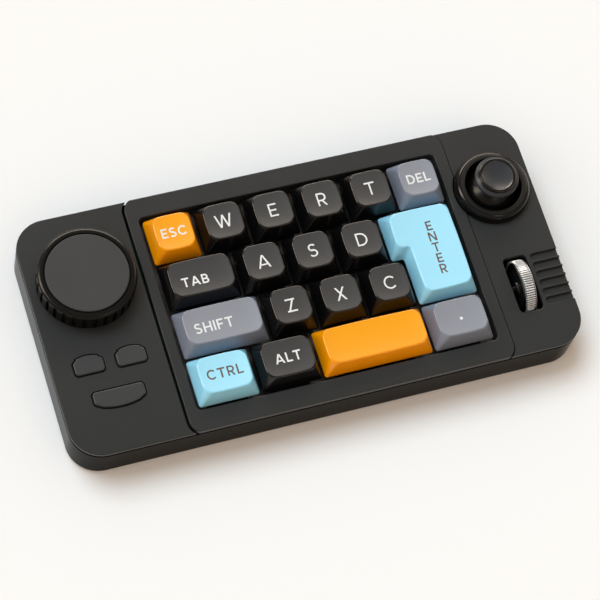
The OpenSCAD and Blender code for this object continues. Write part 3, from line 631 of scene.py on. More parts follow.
def moulded_grain() -> bpy.types.NodeTree:
    """Group of a spark-eroded mould's texture: colour, roughness and height from three noises.

    Returns:
        The group.
    """
    name = "moulded_grain"
    if name in bpy.data.node_groups:
        return bpy.data.node_groups[name]
    number, colour = "NodeSocketFloat", "NodeSocketColor"
    inputs = {"Colour": colour, "Spread": number, "Grain": number, "Roughness": number, "Haze": number}
    outputs = {"Colour": colour, "Roughness": number, "Height": number}
    wiring, given, made = new_group(name, "ShaderNodeTree", inputs, outputs)
    where = wiring.node("ShaderNodeTexCoord").outputs["Object"]
    grain = given.outputs["Grain"]
    fine = wiring.noise(where, grain, 2.0, 0.6)
    coarse = wiring.noise(where, wiring.math("MULTIPLY", grain, 0.31), 2.0)
    cloud = wiring.noise(where, 34.0, 3.0)
    pits = wiring.spread(coarse, 0.35, 0.65)
    wiring.feed(made.inputs["Height"], wiring.math("MULTIPLY_ADD", pits, 0.6, fine))
    swing = wiring.math("SUBTRACT", wiring.math("MULTIPLY_ADD", fine, 0.6, cloud), 0.8)
    level = wiring.math("MULTIPLY_ADD", swing, given.outputs["Spread"], 1.0)
    tint = wiring.node("ShaderNodeCombineColor", {0: level, 1: level, 2: level}).outputs[0]
    wiring.feed(made.inputs["Colour"], wiring.blend(1.0, given.outputs["Colour"], tint, "MULTIPLY"))
    haze = wiring.math("MULTIPLY", wiring.math("SUBTRACT", cloud, 0.5), given.outputs["Haze"])
    wiring.feed(made.inputs["Roughness"], wiring.math("ADD", given.outputs["Roughness"], haze))
    return wiring.tree


def drawn_lines() -> bpy.types.NodeTree:
    """Group of the fine lines that rolling, turning or brushing leaves in metal, along one axis.

    Returns:
        The group.
    """
    name = "drawn_lines"
    if name in bpy.data.node_groups:
        return bpy.data.node_groups[name]
    inputs = {"Stretch": "NodeSocketVector", "Scale": "NodeSocketFloat"}
    outputs = {"Mask": "NodeSocketFloat"}
    wiring, given, made = new_group(name, "ShaderNodeTree", inputs, outputs)
    where = wiring.node("ShaderNodeTexCoord").outputs["Object"]
    feeds = {0: where, 1: given.outputs["Stretch"]}
    pulled = wiring.node("ShaderNodeVectorMath", feeds, operation="MULTIPLY").outputs[0]
    lines = wiring.noise(pulled, given.outputs["Scale"], 4.0, 0.7)
    wiring.feed(made.inputs["Mask"], wiring.spread(lines, 0.3, 0.7))
    return wiring.tree


@dataclass(frozen=True)
class Finish:
    """A moulded surface: a colour with its grain, haze and gloss."""

    name: str
    colour: Colour
    roughness: float
    grain: float = 0.22
    depth: float = 0.012
    spread: float = 0.10
    haze: float = 0.06
    metallic: float = 0.0
    specular: float = 0.5
    ior: float = 1.5

    def material(self) -> bpy.types.Material:
        """Material of the finish, made once and named apart from the frame's own.

        Returns:
            The material.
        """
        label = f"{self.name}_look"
        if label in bpy.data.materials:
            return bpy.data.materials[label]
        material = bpy.data.materials.new(label)
        material.use_nodes = True
        material.node_tree.nodes.clear()
        wiring = Wiring(material.node_tree)
        colour, roughness, height = self.texture(wiring)
        bump = wiring.node("ShaderNodeBump", {"Height": height, "Strength": 1.0, "Distance": self.depth * MM})
        feeds = {
            "Base Color": colour, "Roughness": roughness, "Metallic": self.metallic,
            "Specular IOR Level": self.specular, "IOR": self.ior, "Normal": bump.outputs[0],
        }
        shader = wiring.node("ShaderNodeBsdfPrincipled", feeds)
        wiring.node("ShaderNodeOutputMaterial", {"Surface": shader.outputs[0]})
        material.diffuse_color = linear(self.colour)
        return material

    def texture(self, wiring: Wiring) -> tuple[Any, Any, Any]:
        """Colour, roughness and height over the surface.

        Args:
            wiring: Wiring of the material.

        Returns:
            The colour, the roughness and the height.
        """
        group = wiring.node("ShaderNodeGroup", node_tree=moulded_grain())
        feeds = {
            "Colour": linear(self.colour), "Spread": self.spread, "Grain": 1 / (self.grain * MM),
            "Roughness": self.roughness, "Haze": self.haze,
        }
        for label, value in feeds.items():
            wiring.feed(group.inputs[label], value)
        return tuple(group.outputs[label] for label in ("Colour", "Roughness", "Height"))


@dataclass(frozen=True)
class DrawnMetal(Finish):
    """Metal with fine lines left by rolling or turning."""

    metallic: float = 1.0
    stretch: Place = (1.0, 1.0, 0.03)
    line: float = 0.25

    def texture(self, wiring: Wiring) -> tuple[Any, Any, Any]:
        """Colour, roughness and height over the surface.

        Args:
            wiring: Wiring of the material.

        Returns:
            The colour, the roughness and the height.
        """
        colour, roughness, height = super().texture(wiring)
        group = wiring.node("ShaderNodeGroup", node_tree=drawn_lines())
        wiring.feed(group.inputs["Stretch"], self.stretch)
        wiring.feed(group.inputs["Scale"], 1 / (self.line * MM))
        lines = group.outputs["Mask"]
        rough = wiring.math("MULTIPLY_ADD", wiring.math("SUBTRACT", lines, 0.5), self.haze, roughness)
        return colour, rough, wiring.math("MULTIPLY_ADD", lines, 0.7, height)


@dataclass(frozen=True)
class Laminate(Finish):
    """Solder mask over a board, with the copper tracks showing through."""

    track: Colour = (34, 96, 62)
    pitch: float = 2.2

    def texture(self, wiring: Wiring) -> tuple[Any, Any, Any]:
        """Colour, roughness and height over the surface.

        Args:
            wiring: Wiring of the material.

        Returns:
            The colour, the roughness and the height.
        """
        colour, roughness, height = super().texture(wiring)
        where = wiring.node("ShaderNodeTexCoord").outputs["Object"]
        feeds = {"Vector": where, "Scale": 1 / (self.pitch * MM), "Randomness": 0.0}
        cells = wiring.node("ShaderNodeTexVoronoi", feeds, distance="CHEBYCHEV").outputs["Distance"]
        lines = wiring.spread(cells, 0.42, 0.46)
        patch = wiring.spread(wiring.noise(where, 60.0, 1.0), 0.48, 0.52)
        tracks = wiring.math("MULTIPLY", lines, patch)
        copper = wiring.blend(tracks, colour, linear(self.track))
        return copper, roughness, wiring.math("MULTIPLY_ADD", tracks, 2.0, height)


AROUND = (1.0, 0.05, 0.05)
ALONG = (1.0, 1.0, 0.05)
COVER = Finish("cover_plastic", (43, 45, 46), 0.40, 0.20, 0.014, 0.22, specular=1.0, ior=1.25)
CASE = Finish("case_plastic", (9, 8, 7), 0.20, 0.20, 0.003, 0.16, ior=1.1)
BUTTON = Finish("button_plastic", (54, 56, 58), 0.40, 0.18, 0.010, 0.18, specular=0.4)
DIAL_GRIP = Finish("dial_grip_plastic", (9, 9, 9), 0.24, 0.25, 0.003, 0.08, ior=1.35)
DIAL_FACE = Finish("dial_face_plastic", (54, 56, 58), 0.46, 0.16, 0.014, 0.22, specular=0.34)
COLLAR = Finish("collar_plastic", (9, 10, 12), 0.16, 0.30, 0.002, 0.06, ior=1.4)
COLLAR_RIM = Finish("collar_rim_plastic", (16, 16, 17), 0.30, 0.18, 0.004)
THUMB = Finish("thumb_rubber", (50, 52, 56), 0.34, 0.25, 0.002, 0.1, ior=1.35)
THUMB_RING = Finish("thumb_ring_plastic", (12, 12, 12), 0.14, 0.25, 0.002)
DOME = Finish("dome_plastic", (8, 8, 9), 0.28, 0.25, 0.002, ior=1.35)
WHEEL = DrawnMetal("wheel_metal", (228, 230, 234), 0.34, metallic=0.6, stretch=AROUND, depth=0.001)
WHEEL_SIDE = DrawnMetal("wheel_side", (176, 182, 188), 0.14, stretch=AROUND, depth=0.0005)
# Dark finish of the wheel's web and bore, and of the floor under the ribs, where its dark colour between the
# ribs is painted shade in the grooves.
GROOVE = Finish("wheel_groove", (22, 24, 26), 0.3, 0.25, 0.001)
STEEL = DrawnMetal("plate_steel", (150, 152, 156), 0.42, stretch=(0.04, 1.0, 1.0), line=0.20)
BRIGHT = DrawnMetal("plated_steel", (196, 198, 202), 0.26, stretch=ALONG, line=0.15)
BRASS = DrawnMetal("spacer_brass", (196, 160, 84), 0.32, stretch=ALONG, line=0.15)
ZINC = DrawnMetal("encoder_zinc", (156, 158, 156), 0.44, stretch=(1.0, 0.1, 1.0), line=0.20)
SCREW = DrawnMetal("screw_black", (52, 52, 54), 0.38, stretch=(1.0, 1.0, 0.2), line=0.15)
RUBBER = Finish("foot_rubber", (36, 36, 36), 0.78, 0.40, 0.03, 0.2)
SWITCH = Finish("switch_plastic", (26, 26, 28), 0.42, 0.25, 0.006)
STEM = Finish("stem_plastic", (132, 52, 40), 0.40, 0.25, 0.005)
RESIN = Finish("chip_resin", (28, 28, 30), 0.50, 0.12, 0.01)
SENSOR = Finish("sensor_blue", (42, 92, 152), 0.40, 0.25, 0.006)
ROTOR = Finish("rotor_nylon", (206, 202, 186), 0.45, 0.25, 0.006)
BOARD = Laminate("board_laminate", (22, 74, 46), 0.34, 0.30, 0.01)
WHITE_INK = Finish("legend_white", (236, 236, 234), 0.45, 0.20, 0.003, 0.04)
TAUPE_INK = Finish("legend_taupe", (104, 88, 80), 0.45, 0.20, 0.003, 0.06)


class Cap(Enum):
    """Colour of a keycap: its sides, its top, which is painted lighter than the sides as painted light
    falling on the top, and its legend.
    """

    # Each cap's top colour is lighter than its sides' colour of the same plastic: painted light on the tops.
    ORANGE = ("orange", (255, 158, 2), (255, 167, 10), WHITE_INK)
    BLACK = ("black", (12, 12, 13), (62, 62, 63), WHITE_INK)
    GREY = ("grey", (128, 134, 148), (144, 147, 156), WHITE_INK)
    BLUE = ("blue", (158, 226, 252), (168, 232, 255), TAUPE_INK)

    @property
    def sides(self) -> Finish:
        """Satin finish of the sides."""
        return Finish(f"cap_{self.value[0]}", self.value[1], 0.20, 0.25, 0.003, 0.05)

    @property
    def top(self) -> Finish:
        """Finer, duller finish of the dished top, whose colour is painted lighter than the sides' as painted
        light on the top.
        """
        return Finish(f"cap_{self.value[0]}_top", self.value[2], 0.36, 0.16, 0.006, 0.07)

    @property
    def ink(self) -> Finish:
        """Finish of the legend."""
        return self.value[3]


# --- Repeats --------------------------------------------------------------------------------------


class Pattern:
    """A geometry-nodes tree that makes a repeated or ruled shape, turned into a plain mesh."""

    def __init__(self, name: str, sizes: dict[str, float | int]) -> None:
        """Starts the tree.

        Args:
            name: Name of the tree.
            sizes: Value of each named input.
        """
        self.name = name
        self.sizes = sizes
        kinds = {int: "NodeSocketInt", float: "NodeSocketFloat"}
        inputs = {"Geometry": "NodeSocketGeometry"}
        inputs |= {label: kinds[type(value)] for label, value in sizes.items()}
        outputs = {"Geometry": "NodeSocketGeometry"}
        self.wiring, self.given, self.made = new_group(name, "GeometryNodeTree", inputs, outputs)

    def size(self, label: str) -> bpy.types.NodeSocket:
        """Output of a named input."""
        return self.given.outputs[label]

    def turn(self, angle: Any, radius: Any, along: Any, axis: Axis) -> bpy.types.NodeSocket:
        """Place at an angle and a radius round an axis, at a distance along it.

        Args:
            angle: Turn about the axis, in radians.
            radius: Distance from it.
            along: Distance along it.
            axis: The axis, X or Z.

        Returns:
            The place.
        """
        wiring = self.wiring
        flat = [wiring.math("MULTIPLY", radius, wiring.math(way, angle)) for way in ("COSINE", "SINE")]
        order = [along, *flat] if axis is Axis.X else [*flat, along]
        return wiring.node("ShaderNodeCombineXYZ", dict(enumerate(order))).outputs[0]

    def grid(self, rows: Any) -> tuple[Any, Any, Any]:
        """Grid to wrap round an axis.

        Args:
            rows: Number of rows of points. The columns are the input of that name.

        Returns:
            Its mesh, and each point's place across it and up it, from -0.5 to 0.5.
        """
        columns = self.wiring.math("ADD", self.size("Columns"), 1.0)
        feeds = {"Size X": 1.0, "Size Y": 1.0, "Vertices X": columns, "Vertices Y": rows}
        mesh = self.wiring.node("GeometryNodeMeshGrid", feeds).outputs["Mesh"]
        place = self.wiring.node("GeometryNodeInputPosition").outputs[0]
        spot = self.wiring.node("ShaderNodeSeparateXYZ", {0: place})
        return mesh, spot.outputs[0], spot.outputs[1]

    def skin(self, grid: Any, place: Any, finish: Finish, crease: float = CREASE) -> bpy.types.Object:
        """Plain mesh of the grid with its points at their places.

        Args:
            grid: The grid.
            place: Place of each point.
            finish: Its finish.
            crease: Least turn of a sharp edge, in degrees.

        Returns:
            The mesh as an object.
        """
        feeds = {"Geometry": grid, "Position": place}
        self.finish(self.wiring.node("GeometryNodeSetPosition", feeds).outputs[0], finish)
        return self.plain(self.points([(0, 0, 0)]), f"{self.name}_skin", crease)

    def finish(self, geometry: bpy.types.NodeSocket, finish: Finish) -> None:
        """Ends the tree in Realize Instances and Set Material.

        Args:
            geometry: What the rule has made.
            finish: Its finish.
        """
        real = self.wiring.node("GeometryNodeRealizeInstances", {0: geometry}).outputs[0]
        dressed = self.wiring.node("GeometryNodeSetMaterial", {"Geometry": real})
        dressed.inputs["Material"].default_value = finish.material()
        self.wiring.feed(self.made.inputs["Geometry"], dressed.outputs[0])

    def points(self, places: Sequence[Place]) -> bpy.types.Object:
        """Carrier whose vertices stand at places in millimetres.

        Args:
            places: The places.

        Returns:
            The carrier.
        """
        mesh = bpy.data.meshes.new(f"{self.name}_points")
        mesh.from_pydata([tuple(c * MM for c in p) for p in places], [], [])
        return linked(mesh.name, mesh)

    def plain(self, carrier: bpy.types.Object, name: str, crease: float = CREASE) -> bpy.types.Object:
        """Runs the tree on a carrier and turns the result into a plain mesh.

        Args:
            carrier: Object that the modifier sits on while the tree runs.
            name: Name of the finished piece.
            crease: Angle above which an edge stays sharp, in degrees.

        Returns:
            The finished object, with no modifier.
        """
        modifier = carrier.modifiers.new(self.name, "NODES")
        modifier.node_group = self.wiring.tree
        for item in self.wiring.tree.interface.items_tree:
            if item.item_type == "SOCKET" and item.in_out == "INPUT" and item.name in self.sizes:
                modifier[item.identifier] = self.sizes[item.name]
        graph = bpy.context.evaluated_depsgraph_get()
        mesh = bpy.data.meshes.new_from_object(carrier.evaluated_get(graph))
        mesh.name = name
        carrier.modifiers.clear()
        bpy.data.objects.remove(carrier)
        return linked(name, cleaned(mesh, crease))


def set_out(
    name: str, sample: bpy.types.Object, places: Sequence[Place], finish: Finish
) -> bpy.types.Object:
    """Repeats one sample at many places, as a single piece.

    Args:
        name: Name of the finished piece.
        sample: Object to repeat, drawn about the origin. It is removed.
        places: Where the copies stand.
        finish: Finish of every copy.

    Returns:
        The finished object.
    """
    pattern = Pattern(name, {})
    source = pattern.wiring.node("GeometryNodeObjectInfo")
    source.inputs["Object"].default_value = sample
    feeds = {"Points": pattern.size("Geometry"), "Instance": source.outputs["Geometry"]}
    copies = pattern.wiring.node("GeometryNodeInstanceOnPoints", feeds).outputs[0]
    pattern.finish(copies, finish)
    piece = pattern.plain(pattern.points(places), name)
    bpy.data.objects.remove(sample)
    return piece


# --- Case and covers ------------------------------------------------------------------------------


@dataclass
class Shell:
    """Bottom case, the three covers on it, the feet and the screws."""

    corner: float = 12.0
    frame_corner: float = 5.0
    frame_tip: float = 0.5
    seam_left: float = 0.8
    seam_right: float = 0.4
    cover_thick: float = 1.8
    wall: float = 1.8
    floor: float = 2.0
    gap_high: float = 0.5
    gap_deep: float = 0.9
    key_room: float = 1.275
    well_corner: float = 2.0
    well_wall: float = 1.6
    button_gap: float = 0.5
    spigot_room: float = 0.05
    slot_corner: float = 1.8
    slot_room: float = 2.5
    slot_ends: float = 0.8
    flutes: int = 6
    flute_pitch: float = 3.62
    flute_wide: float = 2.9
    flute_deep: float = 1.2
    flute_long: float = 11.1
    flute_y: float = -19.5
    foot_sink: float = 0.6
    foot_recess: float = 5.1
    screw_sink: float = 1.6
    screw_recess: float = 2.1
    boss: float = 2.5
    slim_boss: float = 2.1
    pilot: float = 1.0
    bore: float = 1.2
    nut_hole: float = 3.7
    overlap: float = 0.1
    usb_room: float = 0.3
    rim: Rounding = Rounding(0.30)
    well_rim: Rounding = Rounding(0.38)
    low_rim: Rounding = Rounding(1.0, 6)
    hole_rim: Rounding = Rounding(0.16, 3, 0.05)
    cover_under: Rounding = Rounding(0.5, 3, 0.02)
    body: Box = field(default_factory=lambda: Box.of("bottom_case"))
    middle: Box = field(default_factory=lambda: Box.of("centre_frame"))
    screws: list[Box] = field(default_factory=lambda: [b for b, _ in loose_parts("case_screws")])
    feet: list[Box] = field(default_factory=lambda: [b for b, _ in loose_parts("rubber_feet")])

    def __post_init__(self) -> None:
        """Works out the heights that the pieces share."""
        self.panel_top = Box.of("left_panel").high.z
        self.panel_low = self.panel_top - self.cover_thick
        self.case_top = self.panel_low - self.gap_high
        self.floor_top = self.body.low.z + self.floor
        self.half_deep = self.body.high.y

    def build(self, buttons: "Buttons", stick: "Stick", wheel: "Wheel") -> None:
        """Builds every piece of the shell.

        Args:
            buttons: Push buttons, whose outlines the left panel is cut to.
            stick: Joystick, whose collar the right panel and the frame are cut to.
            wheel: Scroll wheel, whose slot is cut into the right panel.
        """
        self.left_panel(buttons)
        self.right_panel(stick, wheel)
        self.centre_frame(stick)
        self.bottom_case()
        self.rubber_feet()
        self.case_screws()

    def seam_arc(self, side: int, rear: int, grow: float) -> Loop:
        """Corner of the centre frame, from its straight side to the edge of the case.

        Args:
            side: -1 for the frame's left corners, 1 for its right ones.
            rear: -1 for the front corners, 1 for the rear ones.
            grow: How far the arc stands off the frame.

        Returns:
            The points, from the side to the edge.
        """
        edge = self.middle.low.x if side < 0 else self.middle.high.x
        row = self.half_deep + self.frame_tip - self.frame_corner
        centre = (edge - side * self.frame_corner, rear * row)
        radius = self.frame_corner + grow
        end = math.degrees(math.asin((self.frame_corner - self.frame_tip) / radius))
        corner = arc((0, 0), radius, 0, end, 8)
        return [(centre[0] + side * x, centre[1] + rear * y) for x, y in corner]

    def body_corner(self, side: int, rear: int) -> Loop:
        """Rounded corner of the case, from its side to its front or rear edge.

        Args:
            side: -1 at the left, 1 at the right.
            rear: -1 at the front, 1 at the rear.

        Returns:
            The corner.
        """
        edge = self.body.low.x if side < 0 else self.body.high.x
        centre = (edge - side * self.corner, rear * (self.half_deep - self.corner))
        return [(centre[0] + side * x, centre[1] + rear * y) for x, y in arc((0, 0), self.corner, 0, 90, 24)]

    def panel_outline(self, side: int) -> Loop:
        """Outline of a side panel, counter-clockwise.

        Args:
            side: -1 for the left panel, 1 for the right one.

        Returns:
            The outline.
        """
        seam = self.seam_left if side < 0 else self.seam_right
        front = [*self.body_corner(side, -1), *reversed(self.seam_arc(side, -1, seam))]
        rear = [*self.seam_arc(side, 1, seam), *reversed(self.body_corner(side, 1))]
        loop = [*front, *rear]
        return loop if side < 0 else list(reversed(loop))

    def frame_outline(self, stick: "Stick") -> Loop:
        """Outline of the centre frame, with the notch for the joystick's collar.

        Args:
            stick: Joystick that the notch goes round.

        Returns:
            The outline.
        """
        radius = stick.collar_radius + stick.collar_room
        reach = stick.centre[0] - self.middle.high.x
        half = math.degrees(math.acos(reach / radius))
        notch = arc(stick.centre, radius, 180 + half, 180 - half, 20)
        front = [*self.seam_arc(-1, -1, 0), *reversed(self.seam_arc(1, -1, 0))]
        rear = [*self.seam_arc(1, 1, 0), *reversed(self.seam_arc(-1, 1, 0))]
        return [*front, *notch, *rear]

    def bosses(self, draft: Draft, radius: float, chosen: Callable[[Box], bool]) -> None:
        """Adds the screw bosses under a cover.

        Args:
            draft: Draft of the cover.
            radius: Outer radius of each boss.
            chosen: Says whether a screw goes into this cover.
        """
        for screw in filter(chosen, self.screws):
            top = self.panel_low + self.overlap
            draft.tube(screw.middle.xy, radius, self.pilot, self.post_top(screw), top)

    def post_top(self, screw: Box) -> float:
        """Height at which a case post meets the boss over it."""
        return screw.high.z - self.cover_thick * 2

    def in_frame(self, screw: Box) -> bool:
        """True for a screw that holds the centre frame."""
        return self.middle.low.x < screw.middle.x < self.middle.high.x

    def left_panel(self, buttons: "Buttons") -> None:
        """Left cover with its button openings.

        Args:
            buttons: Push buttons that the openings fit.
        """
        draft = Draft()
        holes = [shifted(loop, self.button_gap) for loop in buttons.shapes().values()]
        holes.append(circle(Box.of("encoder_nut").middle.xy, self.nut_hole, 32))
        low, high = self.panel_low, self.panel_top
        draft.plate(self.panel_outline(-1), low, high, holes, self.rim, self.cover_under, self.hole_rim)
        self.bosses(draft, self.boss, lambda s: not self.in_frame(s) and s.middle.x < 0)
        dress(draft.build("left_cover", COVER), "case", "cover_plastic", "left_panel")

    def flute_loop(self, number: int) -> Loop:
        """Outline of a flute in plan, from its mouth's front corner round to the rear one.

        Args:
            number: Number of the flute from the front, the first being 0.

        Returns:
            The outline.
        """
        y = self.flute_y + (number - (self.flutes - 1) / 2) * self.flute_pitch
        half = self.flute_wide / 2
        mouth = self.body.high.x
        start = mouth - self.flute_long + half
        return [(mouth, y - half), *arc((start, y), half, 270, 90, 14), (mouth, y + half)]

    def right_panel(self, stick: "Stick", wheel: "Wheel") -> None:
        """Right cover: the collar's hole, the wheel slot, and flutes that run out at the side.

        Args:
            stick: Joystick that the hole fits.
            wheel: Wheel that the slot fits.
        """
        draft = Draft()
        outline = self.panel_outline(1)
        ledges = [self.flute_loop(number) for number in range(self.flutes)]
        comb = [*outline, *(p for flute in ledges for p in flute)]
        plain = [*outline, *(p for flute in ledges for p in (flute[0], flute[-1]))]
        ledge = self.panel_top - self.flute_deep
        under = draft.wall(plain, [*self.cover_under.rings(self.panel_low, False)[::-1], (0.0, ledge)], -1)
        crest = draft.wall(comb, [(0.0, ledge), *self.hole_rim.rings(self.panel_top)], -1)
        for loop in ledges:
            draft.cap([draft.ring(loop, ledge)])
        hole = circle(stick.centre, stick.spigot_radius + self.spigot_room, 64)
        half = Vector((wheel.width / 2 + self.slot_room, wheel.radius + self.slot_ends))
        corners = rectangle(tuple(wheel.centre.xy - half), tuple(wheel.centre.xy + half))
        walls = [[under[0], crest[-1]]]
        for loop, edge in ((hole, SHARP), (rounded(corners, self.slot_corner), self.rim)):
            profile = [*SHARP.rings(self.panel_low, False)[::-1], *edge.rings(self.panel_top)]
            walls.append(draft.wall(loop, profile))
        draft.cap([rings[-1] for rings in walls])
        draft.cap([rings[0] for rings in walls])
        self.bosses(draft, self.boss, lambda s: not self.in_frame(s) and s.middle.x > 0)
        dress(draft.build("right_cover", COVER), "case", "cover_plastic", "right_panel")

    def well(self) -> Loop:
        """Corners of the key well, counter-clockwise.

        Returns:
            The corners.
        """
        caps = [Box.of(name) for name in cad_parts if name.startswith("key_")]
        low = Vector((min(b.low.x for b in caps), min(b.low.y for b in caps)))
        high = Vector((max(b.high.x for b in caps), max(b.high.y for b in caps)))
        room = Vector((self.key_room, self.key_room))
        return rectangle(tuple(low - room), tuple(high + room))

    def centre_frame(self, stick: "Stick") -> None:
        """Frame round the keys, with the wall of the well under it.

        Args:
            stick: Joystick that the frame is notched for.
        """
        draft = Draft()
        opening = rounded(self.well(), self.well_corner)
        outline = self.frame_outline(stick)
        top = self.middle.high.z
        draft.plate(outline, self.panel_low, top, [opening], self.rim, self.cover_under, self.well_rim)
        step = 0.02
        inner, outer = shifted(opening, step), shifted(opening, self.well_wall)
        draft.plate(outer, self.middle.low.z, self.panel_low + step, [inner])
        self.bosses(draft, self.slim_boss, self.in_frame)
        dress(draft.build("key_frame", COVER), "case", "cover_plastic", "centre_frame")

    def bottom_case(self) -> None:
        """Walls with their lip, floor with its recesses, posts, and the USB opening."""
        draft = Draft()
        low, high = self.body.low, self.body.high
        outline = rounded(rectangle(tuple(low.xy), tuple(high.xy)), self.corner, 24)
        outside = [*self.low_rim.rings(low.z, False)[::-1], *self.rim.rings(self.case_top)]
        lip = [
            (self.gap_deep - 0.1, self.case_top), (self.gap_deep, self.case_top),
            (self.gap_deep, self.panel_low), (self.wall, self.panel_low), (self.wall, self.floor_top),
        ]
        rings = draft.wall(outline, [*outside, *lip], -1)
        floors = [rings[0]]
        recesses = [(box, self.foot_recess, self.foot_sink) for box in self.feet]
        recesses += [(box, self.screw_recess, self.screw_sink) for box in self.screws]
        for box, radius, sink in recesses:
            loop = circle(box.middle.xy, radius, 40)
            pocket = draft.wall(loop, self.hole_rim.rings(low.z, False)[::-1])
            base = draft.ring(loop, low.z + sink)
            draft.band(pocket[-1], base)
            draft.cap([base])
            floors.append(pocket[0])
        draft.cap(floors)
        draft.cap([rings[-1]])
        for screw in self.screws:
            radius = self.slim_boss if self.in_frame(screw) else self.boss
            foot = self.floor_top - self.overlap / 2
            draft.tube(screw.middle.xy, radius, self.bore, foot, self.post_top(screw))
        case = draft.build("lower_case", CASE)
        self.cut_usb(case)
        dress(case, "case", "case_plastic", "bottom_case")

    def cut_usb(self, case: bpy.types.Object) -> None:
        """Cuts the USB opening through the rear wall.

        Args:
            case: The case to cut.
        """
        socket = Box.of("usb_socket")
        reach = 2.0
        room = self.usb_room
        low = (socket.low.x - room, socket.low.z - room)
        high = (socket.high.x + room, socket.high.z + room)
        loop = rounded(rectangle(low, high), (high[1] - low[1]) / 2 - 0.1, 10)
        draft = Draft()
        near, far = self.half_deep + reach, self.half_deep - self.wall - reach
        ends = [draft.place((x, y, z) for x, z in loop) for y in (near, far)]
        draft.stack(ends)
        draft.face(ends[0])
        draft.face(ends[1][::-1])
        cutter = draft.build("usb_cutter", CASE)
        cut = case.modifiers.new("usb", "BOOLEAN")
        cut.operation, cut.solver, cut.object = "DIFFERENCE", "EXACT", cutter
        graph = bpy.context.evaluated_depsgraph_get()
        case.data = bpy.data.meshes.new_from_object(case.evaluated_get(graph))
        case.modifiers.clear()
        case.data.shade_smooth()
        case.data.set_sharp_from_angle(angle=math.radians(CREASE))
        bpy.data.objects.remove(cutter)

    def stands(self, boxes: list[Box]) -> list[Place]:
        """Where the copies of a sample stand."""
        return [(b.middle.x, b.middle.y, b.low.z) for b in boxes]

    def rubber_feet(self) -> None:
        """Rubber feet with a rounded rim and a shallow ring in the sole."""
        radius, top = self.feet[0].size.x / 2, self.feet[0].size.z
        soft = 0.35
        sole = arc((radius - soft, soft), soft, -90, 0, 5)
        ring = [(0, 0.12), (radius * 0.55, 0.12), (radius * 0.6, 0.0)]
        draft = Draft()
        draft.lathe([*ring, *sole, (radius, top), (0, top)], (0, 0, 0), steps=48)
        sample = draft.build("foot_sample", RUBBER)
        piece = set_out("rubber_pads", sample, self.stands(self.feet), RUBBER)
        dress(piece, "case", "foot_rubber", "rubber_feet")

    def case_screws(self) -> None:
        """Case screws with a cross in the head."""
        size = self.screws[0].size
        sample = screw_sample(size.x / 2, 1.4, 1.0, size.z, SCREW)
        piece = set_out("case_fixings", sample, self.stands(self.screws), SCREW)
        dress(piece, "case", "screw_black", "case_screws")


def screw_sample(
    head: float, head_high: float, shank: float, length: float, finish: Finish
) -> bpy.types.Object:
    """Screw that stands on its head, with a crossed recess.

    Args:
        head: Radius of the head.
        head_high: Height of the head.
        shank: Radius of the shank.
        length: Length over all.
        finish: Finish of the screw.

    Returns:
        The sample, about the origin.
    """
    draft = Draft()
    soft, pitch, core = 0.3, 0.8, shank * 0.86
    arm, half, deep = head * 0.55, head * 0.14, head_high * 0.55
    cross = [
        (arm, -half), (arm, half), (half, half), (half, arm), (-half, arm), (-half, half),
        (-arm, half), (-arm, -half), (-half, -half), (-half, -arm), (half, -arm), (half, -half),
    ]
    face = draft.ring(circle((0, 0), head - soft, 32), 0.0)
    mouth = draft.ring(cross, 0.0)
    draft.cap([face, mouth])
    base = draft.ring(cross, deep)
    draft.band(mouth, base)
    draft.cap([base])
    edge = arc((head - soft, soft), soft, -60, 0, 2)
    thread = []
    for turn in range(int((length - head_high - 0.6) / pitch)):
        start = head_high + 0.3 + turn * pitch
        thread.extend([(core, start), (shank, start + pitch / 2)])
    profile = [(head - soft, 0.0), *edge, (head, head_high), (core, head_high), *thread, (0, length)]
    draft.lathe(profile, (0, 0, 0), steps=32)
    return draft.build("screw_sample", finish)


# --- Keys -----------------------------------------------------------------------------------------


